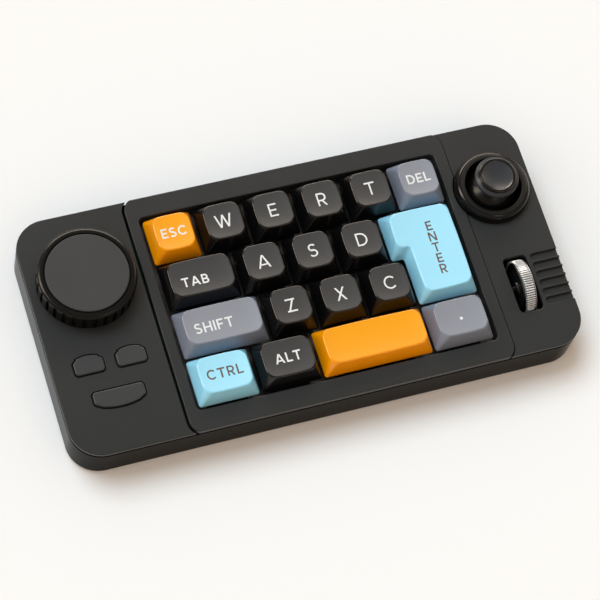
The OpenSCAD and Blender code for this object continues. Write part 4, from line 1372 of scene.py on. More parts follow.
@dataclass(frozen=True)
class Lettering:
    """Plain upright capitals drawn with strokes of one width, one unit high."""

    stroke: float = 0.125
    spacing: float = 0.18
    turn_steps: int = 10

    def slant(self, foot: Point, head: Point) -> Loop:
        """Slanted stroke whose ends are cut level.

        Args:
            foot: Middle of its lower end.
            head: Middle of its upper end.

        Returns:
            The stroke.
        """
        rise = head[1] - foot[1]
        half = self.stroke / 2 * math.hypot(rise, head[0] - foot[0]) / abs(rise)
        ends = ((foot, -half), (foot, half), (head, half), (head, -half))
        return [(end[0] + reach, end[1]) for end, reach in ends]

    def bow(self, centre: Point, radii: Point, start: float, end: float) -> Loop:
        """Stroke along a stretch of an ellipse, counter-clockwise from start to end.

        Args:
            centre: Middle of the ellipse.
            radii: Its radii, across and up, to the middle of the stroke.
            start: Turn at the start, in degrees.
            end: Turn at the end, in degrees.

        Returns:
            The stroke.
        """
        outer, inner = [], []
        for cos, sin in arc((0, 0), 1.0, start, end, self.turn_steps):
            for side, loop in ((1, outer), (-1, inner)):
                wide, high = (radius + side * self.stroke / 2 for radius in radii)
                loop.append((centre[0] + wide * cos, centre[1] + high * sin))
        return [*outer, *reversed(inner)]

    def bowl(self, low: float, high: float, right: float) -> list[Loop]:
        """Level strokes from the left edge and the half turn that closes them, as on a D.

        Args:
            low: Height of the lower edge.
            high: Height of the upper edge.
            right: Place of the right edge.

        Returns:
            The strokes.
        """
        half = self.stroke / 2
        radius = (high - low) / 2 - half
        across = min(radius, right - half)
        start = right - half - across
        middle = (start, (low + high) / 2)
        bars = [rectangle((0, y), (start, y + self.stroke)) for y in (low, high - self.stroke)]
        return [*bars, *(self.bow(middle, (across, radius), turn, turn + 90) for turn in (-90, 0))]

    def letter(self, sign: str) -> tuple[float, list[Loop]]:
        """Width and strokes of a capital.

        Args:
            sign: The letter, or "." for a round dot.

        Returns:
            Its width, and its strokes as counter-clockwise loops that may overlap.
        """
        t = self.stroke
        half, mid, foot, head, slant = t / 2, 0.5, 0, 1, self.slant
        rows = {"low": 0.0, "mid": mid - half, "top": 1 - t}

        def arm(where: str, right: float) -> Loop:
            """Level stroke at a height of the letter."""
            return rectangle((0.0, rows[where]), (right, rows[where] + t))

        def post(left: float) -> Loop:
            """Upright stroke from a place on."""
            return rectangle((left, foot), (left + t, head))

        def curve(centre: Point, radii: Point, *turns: float) -> list[Loop]:
            """Bows from each angle to the next."""
            return [self.bow(centre, radii, start, end) for start, end in zip(turns, turns[1:])]

        stem, edge = post(0), half * 1.12
        signs = {
            "A": (0.92, [
                slant((edge, foot), (0.45, head)), slant((0.92 - edge, foot), (0.47, head)),
                rectangle((0.24, 0.21), (0.68, 0.21 + t * 0.92)),
            ]),
            "B": (0.70, [stem, *self.bowl(0, mid + half, 0.70), *self.bowl(mid - half, 1, 0.65)]),
            "C": (0.86, curve((0.47, mid), (0.47 - half, mid - half), 42, 180, 318)),
            "D": (0.82, [stem, *self.bowl(0, 1, 0.82)]),
            "E": (0.62, [stem, arm("low", 0.62), arm("mid", 0.56), arm("top", 0.62)]),
            "F": (0.60, [stem, arm("mid", 0.54), arm("top", 0.60)]),
            "H": (0.76, [stem, post(0.76 - t), arm("mid", 0.76)]),
            "I": (t, [stem]),
            "L": (0.58, [stem, arm("low", 0.58)]),
            "N": (0.80, [stem, post(0.80 - t), slant((0.80 - t * 0.62, foot), (t * 0.62, head))]),
            "R": (0.72, [stem, *self.bowl(0.36, 1, 0.68), slant((0.60, foot), (0.36, 0.42))]),
            "S": (0.68, [
                *curve((0.34, 0.72), (0.24, 0.28 - half), 35, 160, 275),
                *curve((0.34, 0.29), (0.26, 0.295 - half), -150, -20, 95),
            ]),
            "T": (0.74, [arm("top", 0.74), post(0.37 - half)]),
            "W": (1.28, [
                slant((low, foot), (high, head))
                for low, high in ((0.37, 0.09), (0.37, 0.64), (0.91, 0.64), (0.91, 1.19))
            ]),
            "X": (0.82, [slant((0.11, foot), (0.70, head)), slant((0.71, foot), (0.12, head))]),
            "Z": (0.72, [arm("low", 0.72), arm("top", 0.70), slant((0.12, foot), (0.59, head))]),
            ".": (0.40, [circle((0.2, mid), 0.2, 24)]),
        }
        return signs[sign]

    def word(self, text: str, stacked: bool) -> list[Loop]:
        """Strokes of a word about its own middle, in a line or one letter under the other.

        Args:
            text: The word.
            stacked: Whether its letters stand one under the other.

        Returns:
            The strokes.
        """
        letters = [self.letter(sign) for sign in text]
        start = -(sum(wide for wide, _ in letters) + self.spacing * (len(letters) - 1)) / 2
        row = (len(letters) - 1) * (1 + self.spacing) / 2
        strokes: list[Loop] = []
        for wide, loops in letters:
            x, y = (-wide / 2, row - 0.5) if stacked else (start, -0.5)
            strokes += [[(px + x, py + y) for px, py in loop] for loop in loops]
            start += wide + self.spacing
            row -= 1 + self.spacing
        return strokes


@dataclass(frozen=True)
class Legend:
    """Word on a keycap: its height and how far its middle stands off the cap's."""

    text: str
    high: float = 5.2
    shift: Point = (0.0, 0.0)
    stacked: bool = False


@dataclass
class Key:
    """A keycap with its dished top, its legend, and the switch stem in it."""

    name: str
    cap: Cap
    legend: Legend | None = None
    ear: float = 0.0
    base_corner: float = 1.1
    top_corner: float = 2.9
    inset: float = 2.05
    bow: float = 0.4
    ear_gap: float = 0.95
    skirt: float = 17.6
    wall: float = 1.2
    roof: float = 1.6
    dish: float = 0.85
    rim: float = 0.5
    steps: int = 10
    pitch: float = 1.4
    stroke: float = 0.62

    def __post_init__(self) -> None:
        """Reads the cap's extent from the frame."""
        self.box = Box.of(f"key_{self.name}")
        size, middle = self.box.size, self.box.middle
        top = Vector((size.x, size.y)) / 2 - Vector((self.inset, self.inset))
        reach = min(top)
        self.middle = middle
        self.half = top
        self.spine = Vector((top.x - reach, top.y - reach))
        diagonal = max((reach - self.bow - self.top_corner) * math.sqrt(2) + self.top_corner, reach)
        self.bend = self.dish / diagonal**2

    def corners(self, inset: float) -> Loop:
        """Corners of the cap's outline, moved in.

        Args:
            inset: How far they are moved in.

        Returns:
            The corners.
        """
        low, high = self.box.low, self.box.high
        left, right = low.x + inset, high.x - inset
        front, rear = low.y + inset, high.y - inset
        if not self.ear:
            return rectangle((left, front), (right, rear))
        inner, ledge = left + self.ear, self.middle.y + self.ear_gap / 2 + inset
        return [(inner, front), (right, front), (right, rear), (left, rear), (left, ledge), (inner, ledge)]

    def outline(self, inset: float, corner: float) -> Loop:
        """Rounded outline of the cap, moved in, with points along its sides.

        Args:
            inset: How far it is moved in.
            corner: Radius of its corners.

        Returns:
            The outline.
        """
        corners = self.corners(inset)
        radii = [corner] * len(corners)
        if self.ear:
            radii[-1] = self.base_corner
        bends = rounded(corners, radii, self.steps)
        full = self.corners(0)
        each = self.steps + 1
        loop: Loop = []
        for k, here in enumerate(full):
            loop += bends[k * each:(k + 1) * each]
            start, end = Vector(loop[-1]), Vector(bends[(k + 1) * each % len(bends)])
            parts = int(math.dist(here, full[(k + 1) % len(full)]) / self.pitch) + 1
            loop += [tuple(start.lerp(end, i / parts)) for i in range(1, parts)]
        return loop

    def bowed(self, loop: Loop) -> Loop:
        """Outline whose sides swell between the corners.

        Args:
            loop: Outline with straight sides.

        Returns:
            The outline.
        """
        swollen = []
        for x, y in loop:
            off = Vector((x, y)) - self.middle.xy
            share = Vector((off.x / self.half.x, off.y / self.half.y))
            swell = Vector((share.x**5 * (1 - share.y**2), share.y**5 * (1 - share.x**2)))
            swollen.append((x + swell.x * self.bow, y + swell.y * self.bow))
        return swollen

    def surface(self, x: float, y: float) -> float:
        """Height of the dished top.

        Args:
            x: Place across.
            y: Place from front to rear.

        Returns:
            The height.
        """
        away_x = max(abs(x - self.middle.x) - self.spine.x, 0.0)
        away_y = max(abs(y - self.middle.y) - self.spine.y, 0.0)
        return self.box.high.z - self.dish + self.bend * (away_x**2 + away_y**2)

    def side_loops(self) -> tuple[Loop, Loop, list[float]]:
        """Outline at the skirt and at the full height, and each point's share of the way up at the rim.

        Returns:
            The two outlines and the shares.
        """
        base = self.outline(0, self.base_corner)
        top = self.bowed(self.outline(self.inset + self.bow, self.top_corner))
        high = self.box.high.z - self.skirt
        shares = [(self.surface(x, y) - self.skirt) / high for x, y in top]
        return base, top, shares

    def draft_cap(self, draft: Draft) -> None:
        """Drafts the outside, the rim, the dish and the hollow under it.

        Args:
            draft: Draft of the keycap.
        """
        base, top, shares = self.side_loops()
        high = self.box.high.z - self.skirt

        def ring(share: float, drop: float = 0.0) -> list[Place]:
            """Points of the side at a share of the way to the rim, less a drop.

            Args:
                share: Share of the way to the rim.
                drop: How far the points are lowered.

            Returns:
                The points.
            """
            places = []
            for low, peak, rim in zip(base, top, shares):
                up = rim * share - drop / high
                x, y = (low[k] + (peak[k] - low[k]) * up for k in (0, 1))
                places.append((x, y, self.skirt + up * high))
            return places

        lip = 0.12
        start = shifted(base, -lip)
        rings = [draft.ring(start, self.skirt)]
        side = [ring(lip / high), *(ring(s) for s in (0.25, 0.5, 0.75)), ring(1.0, self.rim * 1.15)]
        rings += [draft.place(places) for places in side]
        foot, peak = ring(1.0, self.rim), ring(1.0)
        inner = shifted([(x, y) for x, y, _ in peak], -self.rim)
        for step in range(1, 6):
            s = step / 6
            places = []
            for a, p, b in zip(foot, peak, inner):
                end = (b[0], b[1], self.surface(*b))
                mixed = ((1 - s) ** 2 * a[k] + 2 * s * (1 - s) * p[k] + s * s * end[k] for k in range(3))
                places.append(tuple(mixed))
            rings.append(draft.place(places))
        draft.stack(rings)
        # The dished top takes the lighter top colour: painted light on the top.
        draft.kind = 1
        first = draft.ring(inner, self.surface)
        draft.band(rings[-1], first)
        flats = [first]
        for extra in (0.3, 0.9):
            flats.append(draft.ring(shifted(inner, -extra), self.surface))
        draft.stack(flats)
        edge = [draft.points[n][:2] for n in flats[-1]]
        draft.cap([flats[-1]], self.grid(edge), self.surface)
        draft.kind = 0
        self.hollow(draft, rings[0])

    def grid(self, edge: Loop) -> Loop:
        """Evenly spread points inside the top, clear of its edge.

        Args:
            edge: Outline of the top.

        Returns:
            The points.
        """
        pitch, clear = 1.1, 0.6
        low = Vector((min(p[0] for p in edge), min(p[1] for p in edge)))
        high = Vector((max(p[0] for p in edge), max(p[1] for p in edge)))
        columns = max(2, round((high.x - low.x) / pitch))
        rows = max(2, round((high.y - low.y) / pitch))
        inside = shifted(edge, -clear)
        spots = []
        for i in range(1, columns):
            for j in range(1, rows):
                spot = (low.x + (high.x - low.x) * i / columns, low.y + (high.y - low.y) * j / rows)
                if contains(inside, spot):
                    spots.append(spot)
        return spots

    def hollow(self, draft: Draft, outer: list[int]) -> None:
        """Drafts the inside of the cap, from the skirt up to the roof, and its post.

        Args:
            draft: Draft of the keycap.
            outer: Point numbers of the skirt.
        """
        roof = self.box.high.z - self.roof
        base = self.outline(self.wall, self.base_corner / 2)
        lean = self.inset * (roof - self.skirt) / (self.box.high.z - self.skirt)
        top = self.outline(self.wall + lean, self.top_corner - self.wall)
        rings = [outer, draft.ring(base, self.skirt), draft.ring(top, roof)]
        draft.stack(rings)
        draft.cap([rings[-1]])

    def stem(self, draft: Draft) -> None:
        """Adds the post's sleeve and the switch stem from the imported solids.

        Args:
            draft: Draft of the keycap.
        """
        outer, inner, long, clear = 2.75, 2.05, 3.6, 0.02
        for box, solid in loose_parts(f"key_{self.name}"):
            if box.high.z < self.box.high.z - self.roof / 2:
                draft.take(solid)
                roof = self.box.high.z - self.roof - clear
                draft.tube(box.middle.xy, outer, inner, box.high.z - long, roof, 32)

    def word(self, draft: Draft) -> None:
        """Inlays the legend, a hair above the dish.

        Args:
            draft: Draft of the keycap.
        """
        proud, deep = 0.015, 0.12
        scale = self.legend.high
        shift = Vector(self.legend.shift) + self.middle.xy
        strokes = Lettering(self.stroke / scale).word(self.legend.text, self.legend.stacked)
        flat, loops = [], []
        for stroke in strokes:
            loops.append(list(range(len(flat), len(flat) + len(stroke))))
            flat += [Vector((x * scale + shift.x, y * scale + shift.y)) for x, y in stroke]
        places, _, filled, _, _, sources = delaunay_2d_cdt(flat, [], loops, 0, MERGE)
        tops = draft.place((p.x, p.y, self.surface(p.x, p.y) + proud) for p in places)
        lows = draft.place((p.x, p.y, self.surface(p.x, p.y) - deep) for p in places)
        border: dict[tuple[int, int], None] = {}
        for corners in (corners for corners, source in zip(filled, sources) if source):
            draft.face([tops[c] for c in corners])
            draft.face([lows[c] for c in reversed(corners)])
            for a, b in zip(corners, [*corners[1:], corners[0]]):
                if (b, a) in border:
                    del border[(b, a)]
                else:
                    border[(a, b)] = None
        for a, b in border:
            draft.face((tops[b], tops[a], lows[a], lows[b]))

    def build(self) -> None:
        """Builds the cap, its legend and its stem as one piece."""
        draft = Draft()
        self.draft_cap(draft)
        draft.kind = 2
        self.stem(draft)
        finishes = [self.cap.sides, self.cap.top, STEM]
        if self.legend:
            draft.kind = 3
            self.word(draft)
            finishes.append(self.cap.ink)
        name = f"key_{self.name}"
        dress(draft.build(f"keycap_{self.name}", *finishes), name, f"cap_{self.cap.value[0]}", name)


def contains(loop: Loop, spot: Point) -> bool:
    """True where a closed loop goes round a spot.

    Args:
        loop: The loop.
        spot: The spot.

    Returns:
        Whether it does.
    """
    inside = False
    for (ax, ay), (bx, by) in zip(loop, [*loop[1:], loop[0]]):
        if (ay > spot[1]) != (by > spot[1]) and spot[0] < (bx - ax) * (spot[1] - ay) / (by - ay) + ax:
            inside = not inside
    return inside


def keys() -> list[Key]:
    """Every key of the field, row by row from the rear.

    Returns:
        The keys.
    """
    plain = {name: Legend(name.upper()) for name in ("w", "e", "r", "t", "a", "s", "d", "z", "x", "c")}
    return [
        Key("esc", Cap.ORANGE, Legend("ESC", 3.8)),
        *(Key(name, Cap.BLACK, legend) for name, legend in plain.items()),
        Key("del", Cap.GREY, Legend("DEL", 3.8)),
        Key("tab", Cap.BLACK, Legend("TAB", 3.7, (-2.6, -1.4))),
        Key("shift", Cap.GREY, Legend("SHIFT", 4.0, (-3.4, -0.8))),
        Key("ctrl", Cap.BLUE, Legend("CTRL", 3.9)),
        Key("alt", Cap.BLACK, Legend("ALT", 3.8)),
        Key("space", Cap.ORANGE),
        Key("enter", Cap.BLUE, Legend("ENTER", 3.75, (2.4, 0.0), stacked=True), ear=4.7625),
        Key("dot", Cap.GREY, Legend(".", 3.0, (0.0, -0.8))),
    ]


# --- Dial and buttons -----------------------------------------------------------------------------


@dataclass
class Dial:
    """Big dial: a notched grip round an inset face."""

    notches: int = 30
    notch_deep: float = 0.9
    shoulder: float = 1.5
    ring: float = 15.6
    rim_wide: float = 0.9
    face: float = 15.2
    wall: float = 1.6
    columns: int = 16
    rows: int = 26
    box: Box = field(default_factory=lambda: Box.of("dial_grip"))
    cap: Box = field(default_factory=lambda: Box.of("dial_cap"))

    def build(self) -> None:
        """Builds the grip and the face."""
        self.grip()
        self.disc()

    @property
    def lip(self) -> float:
        """Radius at which the shoulder meets the flat rim."""
        return self.ring + self.rim_wide

    def skirt(self) -> bpy.types.Object:
        """Skirt whose notches fade out under the shoulder, by a rule on a grid wrapped round the axis.

        Returns:
            The skirt, about the origin.
        """
        radius, low, high = self.box.size.x / 2, self.box.low.z, self.box.high.z
        sizes = {
            "Radius": radius * MM, "Low": low * MM, "Straight": (high - low - self.shoulder) * MM,
            "Shoulder": self.shoulder * MM, "Inset": (radius - self.lip) * MM,
            "Notches": self.notches, "Deep": self.notch_deep * MM, "Columns": self.notches * self.columns,
        }
        pattern = Pattern("notched_skirt", sizes)
        size, math_node, spread = pattern.size, pattern.wiring.math, pattern.wiring.spread
        grid, across, up = pattern.grid(self.rows)
        turn = math_node("MULTIPLY", math_node("ADD", across, 0.5), math.tau)
        share = math_node("ADD", up, 0.5)
        bend = 0.55
        over = math_node("MULTIPLY", spread(share, bend, 1.0), math.pi / 2)
        rise = math_node("MULTIPLY", size("Straight"), spread(share, 0.0, bend))
        dome = math_node("MULTIPLY", size("Shoulder"), math_node("SINE", over))
        height = math_node("ADD", math_node("ADD", rise, dome), size("Low"))
        lean = math_node("SUBTRACT", 1.0, math_node("COSINE", over))
        wave = math_node("COSINE", math_node("MULTIPLY", turn, size("Notches")))
        groove = math_node("SINE", math_node("MULTIPLY", spread(wave, 0.40, 0.75), math.pi / 2))
        fade = math_node("SQRT", spread(share, bend * 0.72, bend + 0.1, 1.0, 0.0))
        cut = math_node("MULTIPLY", math_node("MULTIPLY", groove, fade), size("Deep"))
        drawn_in = math_node("SUBTRACT", size("Radius"), math_node("MULTIPLY", size("Inset"), lean))
        span = math_node("SUBTRACT", drawn_in, cut)
        return pattern.skin(grid, pattern.turn(turn, span, height, Axis.Z), DIAL_GRIP)

    def grip(self) -> None:
        """Skirt, the rim and floor of the face's recess, and the underside."""
        draft = Draft()
        centre = Vector((self.box.middle.x, self.box.middle.y, 0))
        draft.take_skin(self.skirt(), centre)
        radius, low, high = self.box.size.x / 2, self.box.low.z, self.box.high.z
        edge, floor, under, inner = 0.22, high - 1.2, high - 3.0, radius - self.wall
        rim = [(self.lip, high), (self.ring + edge, high), (self.ring, high - edge), (self.ring, floor)]
        rim.append((0, floor))
        for profile in (rim, [(radius, low), (inner, low), (inner, under), (0, under)]):
            draft.lathe(profile, tuple(centre), steps=self.notches * self.columns)
        dress(draft.build("dial_knurl", DIAL_GRIP), "dial", "dial_plastic", "dial_grip")

    def disc(self) -> None:
        """Plain inset face with a rounded edge."""
        low, top, radius, soft = self.cap.low.z + 0.02, self.cap.high.z, self.face, 0.3
        edge = arc((radius - soft, top - soft), soft, 0, 90, 4)
        draft = Draft()
        flat = [(radius - 0.4, top), (radius * 0.6, top), (0, top)]
        draft.lathe([(0, low), (radius, low), *edge, *flat], (*self.cap.middle.xy, 0), steps=128)
        dress(draft.build("dial_disc", DIAL_FACE), "dial", "dial_face", "dial_cap")


@dataclass
class Buttons:
    """Three push buttons: two small with an arched rear edge, one long with an arched front edge."""

    corner: float = 1.3
    lip: float = 0.8
    small_arch: float = 11.0
    long_arch: float = 25.0
    skirt: float = 1.0
    lip_gap: float = 0.15
    foot: float = 2.5
    plunger: float = 1.7
    plunger_high: float = 4.9
    edge: Rounding = Rounding(0.4, 5, 0.08)

    def outline(self, name: str, radius: float, rear: int) -> Loop:
        """Outline of a button.

        Args:
            name: Node of the button.
            radius: Radius of the arch.
            rear: 1 where the arch is the rear edge, -1 where it is the front one.

        Returns:
            The loop, counter-clockwise.
        """
        box = Box.of(name)
        wide, crown = box.size.x / 2 - self.lip, box.size.y / 2 - self.lip

        def edge_height(x: float) -> float:
            """Height of the arch over the button's middle."""
            return crown - radius + math.sqrt(radius**2 - x**2)

        end = edge_height(wide)
        corners = [(-wide, -crown), (wide, -crown), (wide, end), (-wide, end)]
        count, steps = 16, 6
        base = rounded(corners, self.corner, steps)
        split = 3 * (steps + 1)
        spans = [wide - 2 * wide * i / count for i in range(1, count)]
        inner = [(x, edge_height(x)) for x in spans if base[split][0] < x < base[split - 1][0]]
        loop = [*base[:split], *inner, *base[split:]]
        if rear < 0:
            loop = [(x, -y) for x, y in reversed(loop)]
        return [(x + box.middle.x, y + box.middle.y) for x, y in loop]

    def shapes(self) -> dict[str, Loop]:
        """Outline of each button, by node."""
        small = {name: self.outline(name, self.small_arch, 1) for name in ("button_left", "button_right")}
        return small | {"button_long": self.outline("button_long", self.long_arch, -1)}

    def build(self) -> None:
        """Builds each button with its lip, foot and plunger."""
        lip_top = Box.of("left_panel").high.z - Shell.cover_thick - self.lip_gap
        clear = 0.02
        for name, loop in self.shapes().items():
            box = Box.of(name)
            draft = Draft()
            draft.plate(loop, lip_top - self.skirt, box.high.z, edge=self.edge)
            draft.plate(shifted(loop, self.lip), lip_top - self.skirt + clear, lip_top)
            split, roof = box.low.z + self.plunger_high, lip_top - self.skirt + 0.1
            for radius, low, high in ((self.foot, split, roof), (self.plunger, box.low.z, split - 0.05)):
                profile = [(0, low), (radius, low), (radius, high), (0, high)]
                draft.lathe(profile, (*box.middle.xy, 0), steps=32)
            dress(draft.build(f"push_{name}", BUTTON), name, "button_plastic", name)


# --- Joystick and wheel ---------------------------------------------------------------------------


@dataclass
class Stick:
    """Joystick: collar, dome and thumb cap."""

    bore: float = 10.8
    rim_wide: float = 1.6
    edge: float = 0.6
    spigot_radius: float = 11.7
    collar_room: float = 0.2
    thumb_dish: float = 1.0
    dish_radius: float = 5.9
    shaft: float = 2.05
    neck: float = 3.2
    bell: float = 11.2
    crown: float = 0.4
    crown_radius: float = 8.8
    pivot_drop: float = 3.0
    collar: Box = field(default_factory=lambda: Box.of("joystick_collar"))
    dome: Box = field(default_factory=lambda: Box.of("stick_dome"))
    thumb: Box = field(default_factory=lambda: Box.of("thumb_cap"))

    @property
    def centre(self) -> Point:
        """Joystick's axis in plan."""
        return tuple(self.collar.middle.xy)

    @property
    def collar_radius(self) -> float:
        """Outer radius of the collar."""
        return self.collar.size.x / 2

    @property
    def axis(self) -> Place:
        """Foot of the joystick's axis."""
        return (*self.centre, 0)

    def build(self) -> None:
        """Builds the three pieces."""
        self.build_collar()
        self.build_dome()
        self.build_thumb()

    def build_collar(self) -> None:
        """Collar with a rounded cone, a flat rim and a bore."""
        low, top, outer = self.collar.low.z, self.collar.high.z, self.collar_radius
        panel = Box.of("right_panel").high.z
        rim = self.bore + self.rim_wide
        wide, tall = outer - rim, top - panel - self.edge
        quarter = arc((0, 0), 1.0, 0, 90, 15)
        side = [(outer - wide * (1 - cos), panel + self.edge + tall * sin) for cos, sin in quarter]
        brink, soft = (rim + 0.06, top - 0.02), 0.3
        cone = [(self.spigot_radius, low), (self.spigot_radius, panel), (outer, panel), *side[:-1], brink]
        mouth = arc((self.bore + soft, top - soft), soft, 90, 180, 3)
        draft = Draft()
        bore = [mouth[-1], (self.bore, low), (self.spigot_radius, low)]
        for draft.kind, profile in ((0, cone), (1, [brink, (rim, top), *mouth]), (0, bore)):
            draft.lathe(profile, self.axis, steps=128)
        dress(draft.build("stick_collar", COLLAR, COLLAR_RIM), "case", "collar_plastic", "joystick_collar")

    def build_dome(self) -> None:
        """Hollow dome with a raised crown and the neck."""
        low, high = self.dome.low.z, self.dome.high.z
        pivot, thin = low - self.pivot_drop, 1.0

        def bend(radius: float, first: float, last: float, steps: int) -> Loop:
            """Arc of the dome between two turns, in radians."""
            return arc((0, pivot), radius, math.degrees(first), math.degrees(last), steps)

        full, inner = self.bell + self.crown, self.bell - thin
        step, rise = self.crown_radius, self.pivot_drop
        outside = bend(self.bell, math.asin(rise / self.bell), math.acos(step / self.bell), 8)
        outside += bend(full, math.acos(step / full), math.acos((self.neck + 0.5) / full), 10)
        fillet = outside[-1][1]
        column = [(self.neck + 0.12, fillet + 0.18), (self.neck, fillet + 0.55), (self.neck, high)]
        column.append((self.shaft, high))
        inside = bend(inner, math.acos(self.shaft / inner), math.asin(rise / inner), 9)
        draft = Draft()
        profile = [*outside, *column, *inside, (outside[0][0], low)]
        draft.lathe(profile, self.axis, steps=96, closed=True)
        dress(draft.build("stick_bell", DOME), "stick", "thumb_rubber", "stick_dome")

    def build_thumb(self) -> None:
        """Thumb cap: a lower ring, a groove, a raised ring and a dished top."""
        top, radius, dish, shaft = self.thumb.high.z, self.thumb.size.x / 2, self.dish_radius, self.shaft
        skirt = [(shaft, -4.5), (4.2, -4.5), (6.6, -3.75), (radius - 0.35, -3.05), (radius, -2.75)]
        shoulder = [
            (radius, -1.85), (radius - 0.12, -1.62), (radius - 0.4, -1.42), (radius - 0.95, -1.15),
            (dish + 1.35, -1.0),
        ]
        ring = [(dish + 1.2, -0.92), (dish + 1.15, -0.32), (dish + 1.02, -0.1), (dish + 0.8, 0.0)]
        brink, lip = 0.1, -0.2
        edge = [(dish + 0.35, 0.0), (dish + brink, -0.05), (dish - brink, lip)]
        shares = [1 - i / 9 for i in range(1, 9)]
        bowl = [((dish - brink) * s, lip - (self.thumb_dish + lip) * (1 - s**2)) for s in shares]
        outside = [(0, -2.3), (shaft, -2.3), *skirt, *shoulder]
        inside = [edge[-1], *bowl, (0, -self.thumb_dish)]
        draft = Draft()
        for draft.kind, profile in ((0, outside), (1, [shoulder[-1], *ring, *edge]), (0, inside)):
            draft.lathe([(r, top + z) for r, z in profile], self.axis, steps=96)
        dress(draft.build("stick_pad", THUMB, THUMB_RING), "stick", "thumb_rubber", "thumb_cap")


@dataclass
class Wheel:
    """Scroll wheel with a knurled rim between polished shoulders."""

    chamfer: float = 0.22
    bore: float = 1.27
    tooth: float = 0.36
    ribs: int = 72
    columns: int = 6
    rows: int = 9
    crease: float = 40.0
    box: Box = field(default_factory=lambda: Box.of("scroll_wheel"))

    @property
    def centre(self) -> Vector:
        """Middle of the wheel."""
        return self.box.middle

    @property
    def radius(self) -> float:
        """Radius over the rim."""
        return self.box.size.y / 2

    @property
    def width(self) -> float:
        """Width of the wheel."""
        return self.box.size.x

    @property
    def rim_wide(self) -> float:
        """Width of the ribbed rim between the two chamfers."""
        return self.width - 2 * self.chamfer

    def build(self) -> None:
        """Builds the disc and its ribs as one piece."""
        half, radius, rim = self.width / 2, self.radius, self.rim_wide / 2
        floor = radius - self.tooth * 0.55
        web = [(self.bore, 0.0), (2.6, 0.0), (2.8, -0.5), (radius - 3.3, -0.5), (radius - 3.1, -0.3)]
        ring = [web[-1], (radius - 2.5, -0.08), (radius - 1.9, 0.0), (radius - 1.4, -0.1)]
        ring += [(radius - 0.9, -0.32), (radius - 0.5, -0.62)]
        crest = [(radius - 0.12, rim + 0.08), (radius - 0.12, rim), (floor, rim)]
        draft = Draft()
        for side in (-1, 1):
            dark, bright = ([(r, side * (half + z)) for r, z in part] for part in (web, ring))
            light = [bright[-1], *((r, side * along) for r, along in crest)]
            for draft.kind, profile in ((1, dark), (2, bright), (0, light)):
                draft.lathe(profile, tuple(self.centre), Axis.X, 180)
        # The floor under the ribs takes the dark groove finish, painted shade that shows in the grooves
        # between the ribs; the bore takes the same dark finish.
        draft.kind = 1
        for span, reach in ((floor, rim), (self.bore, half)):
            draft.lathe([(span, -reach), (span, reach)], tuple(self.centre), Axis.X, 180)
        draft.kind = 0
        draft.take_skin(self.ribbing(), self.centre)
        piece = draft.build("thumb_wheel", WHEEL, GROOVE, WHEEL_SIDE, crease=self.crease)
        dress(piece, "wheel", "wheel_metal", "scroll_wheel")

    def ribbing(self) -> bpy.types.Object:
        """Fine ribs along the axis, by a rule on a grid wrapped round the rim.

        Returns:
            The ribs, about the origin.
        """
        sizes = {
            "Ribs": self.ribs, "Columns": self.ribs * self.columns, "Rows": self.rows,
            "Wide": self.rim_wide * MM, "Radius": self.radius * MM, "Tooth": self.tooth * MM,
        }
        pattern = Pattern("rim_ribs", sizes)
        size, math_node, spread = pattern.size, pattern.wiring.math, pattern.wiring.spread
        grid, across, up = pattern.grid(size("Rows"))
        turn = math_node("MULTIPLY", across, math.tau)
        wave = math_node("COSINE", math_node("MULTIPLY", turn, size("Ribs")))
        low = spread(math_node("ABSOLUTE", up), 0.46, 0.5)
        cut = math_node("MAXIMUM", spread(wave, 0.05, 0.9), low)
        span = math_node("SUBTRACT", size("Radius"), math_node("MULTIPLY", cut, size("Tooth")))
        place = pattern.turn(turn, span, math_node("MULTIPLY", up, size("Wide")), Axis.X)
        return pattern.skin(grid, place, WHEEL, self.crease)


# --- Inside ---------------------------------------------------------------------------------------


@dataclass
class Inside:
    """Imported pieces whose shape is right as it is, with their finishes."""
    finishes: dict[Finish, tuple[str, ...]] = field(
        default_factory=lambda: {
            STEEL: ("switch_plate",),
            BOARD: ("main_board",),
            RESIN: ("controller_chip",),
            BRIGHT: (
                "usb_socket", "plate_screws", "switch_springs", "encoder_nut", "dial_shaft", "stick_shaft",
            ),
            BRASS: ("plate_spacers",),
            SWITCH: (
                "switch_housings", "stabiliser_housings", "tact_switches", "joystick_housing",
                "wheel_bracket",
            ),
            SCREW: ("space_stabiliser_wire", "enter_stabiliser_wire", "wheel_axle"),
            ZINC: ("encoder_body", "gimbal_ring", "stick_hub"),
            ROTOR: ("encoder_rotor",),
            SENSOR: ("joystick_sensors", "wheel_sensor"),
        }
    )

    def build(self) -> None:
        """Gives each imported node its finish."""
        for finish, names in self.finishes.items():
            for name in names:
                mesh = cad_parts[name].data
                mesh.materials.clear()
                mesh.materials.append(finish.material())
                log.info("%s: packed shape, %s", name, finish.name)


# --- Stage ----------------------------------------------------------------------------------------


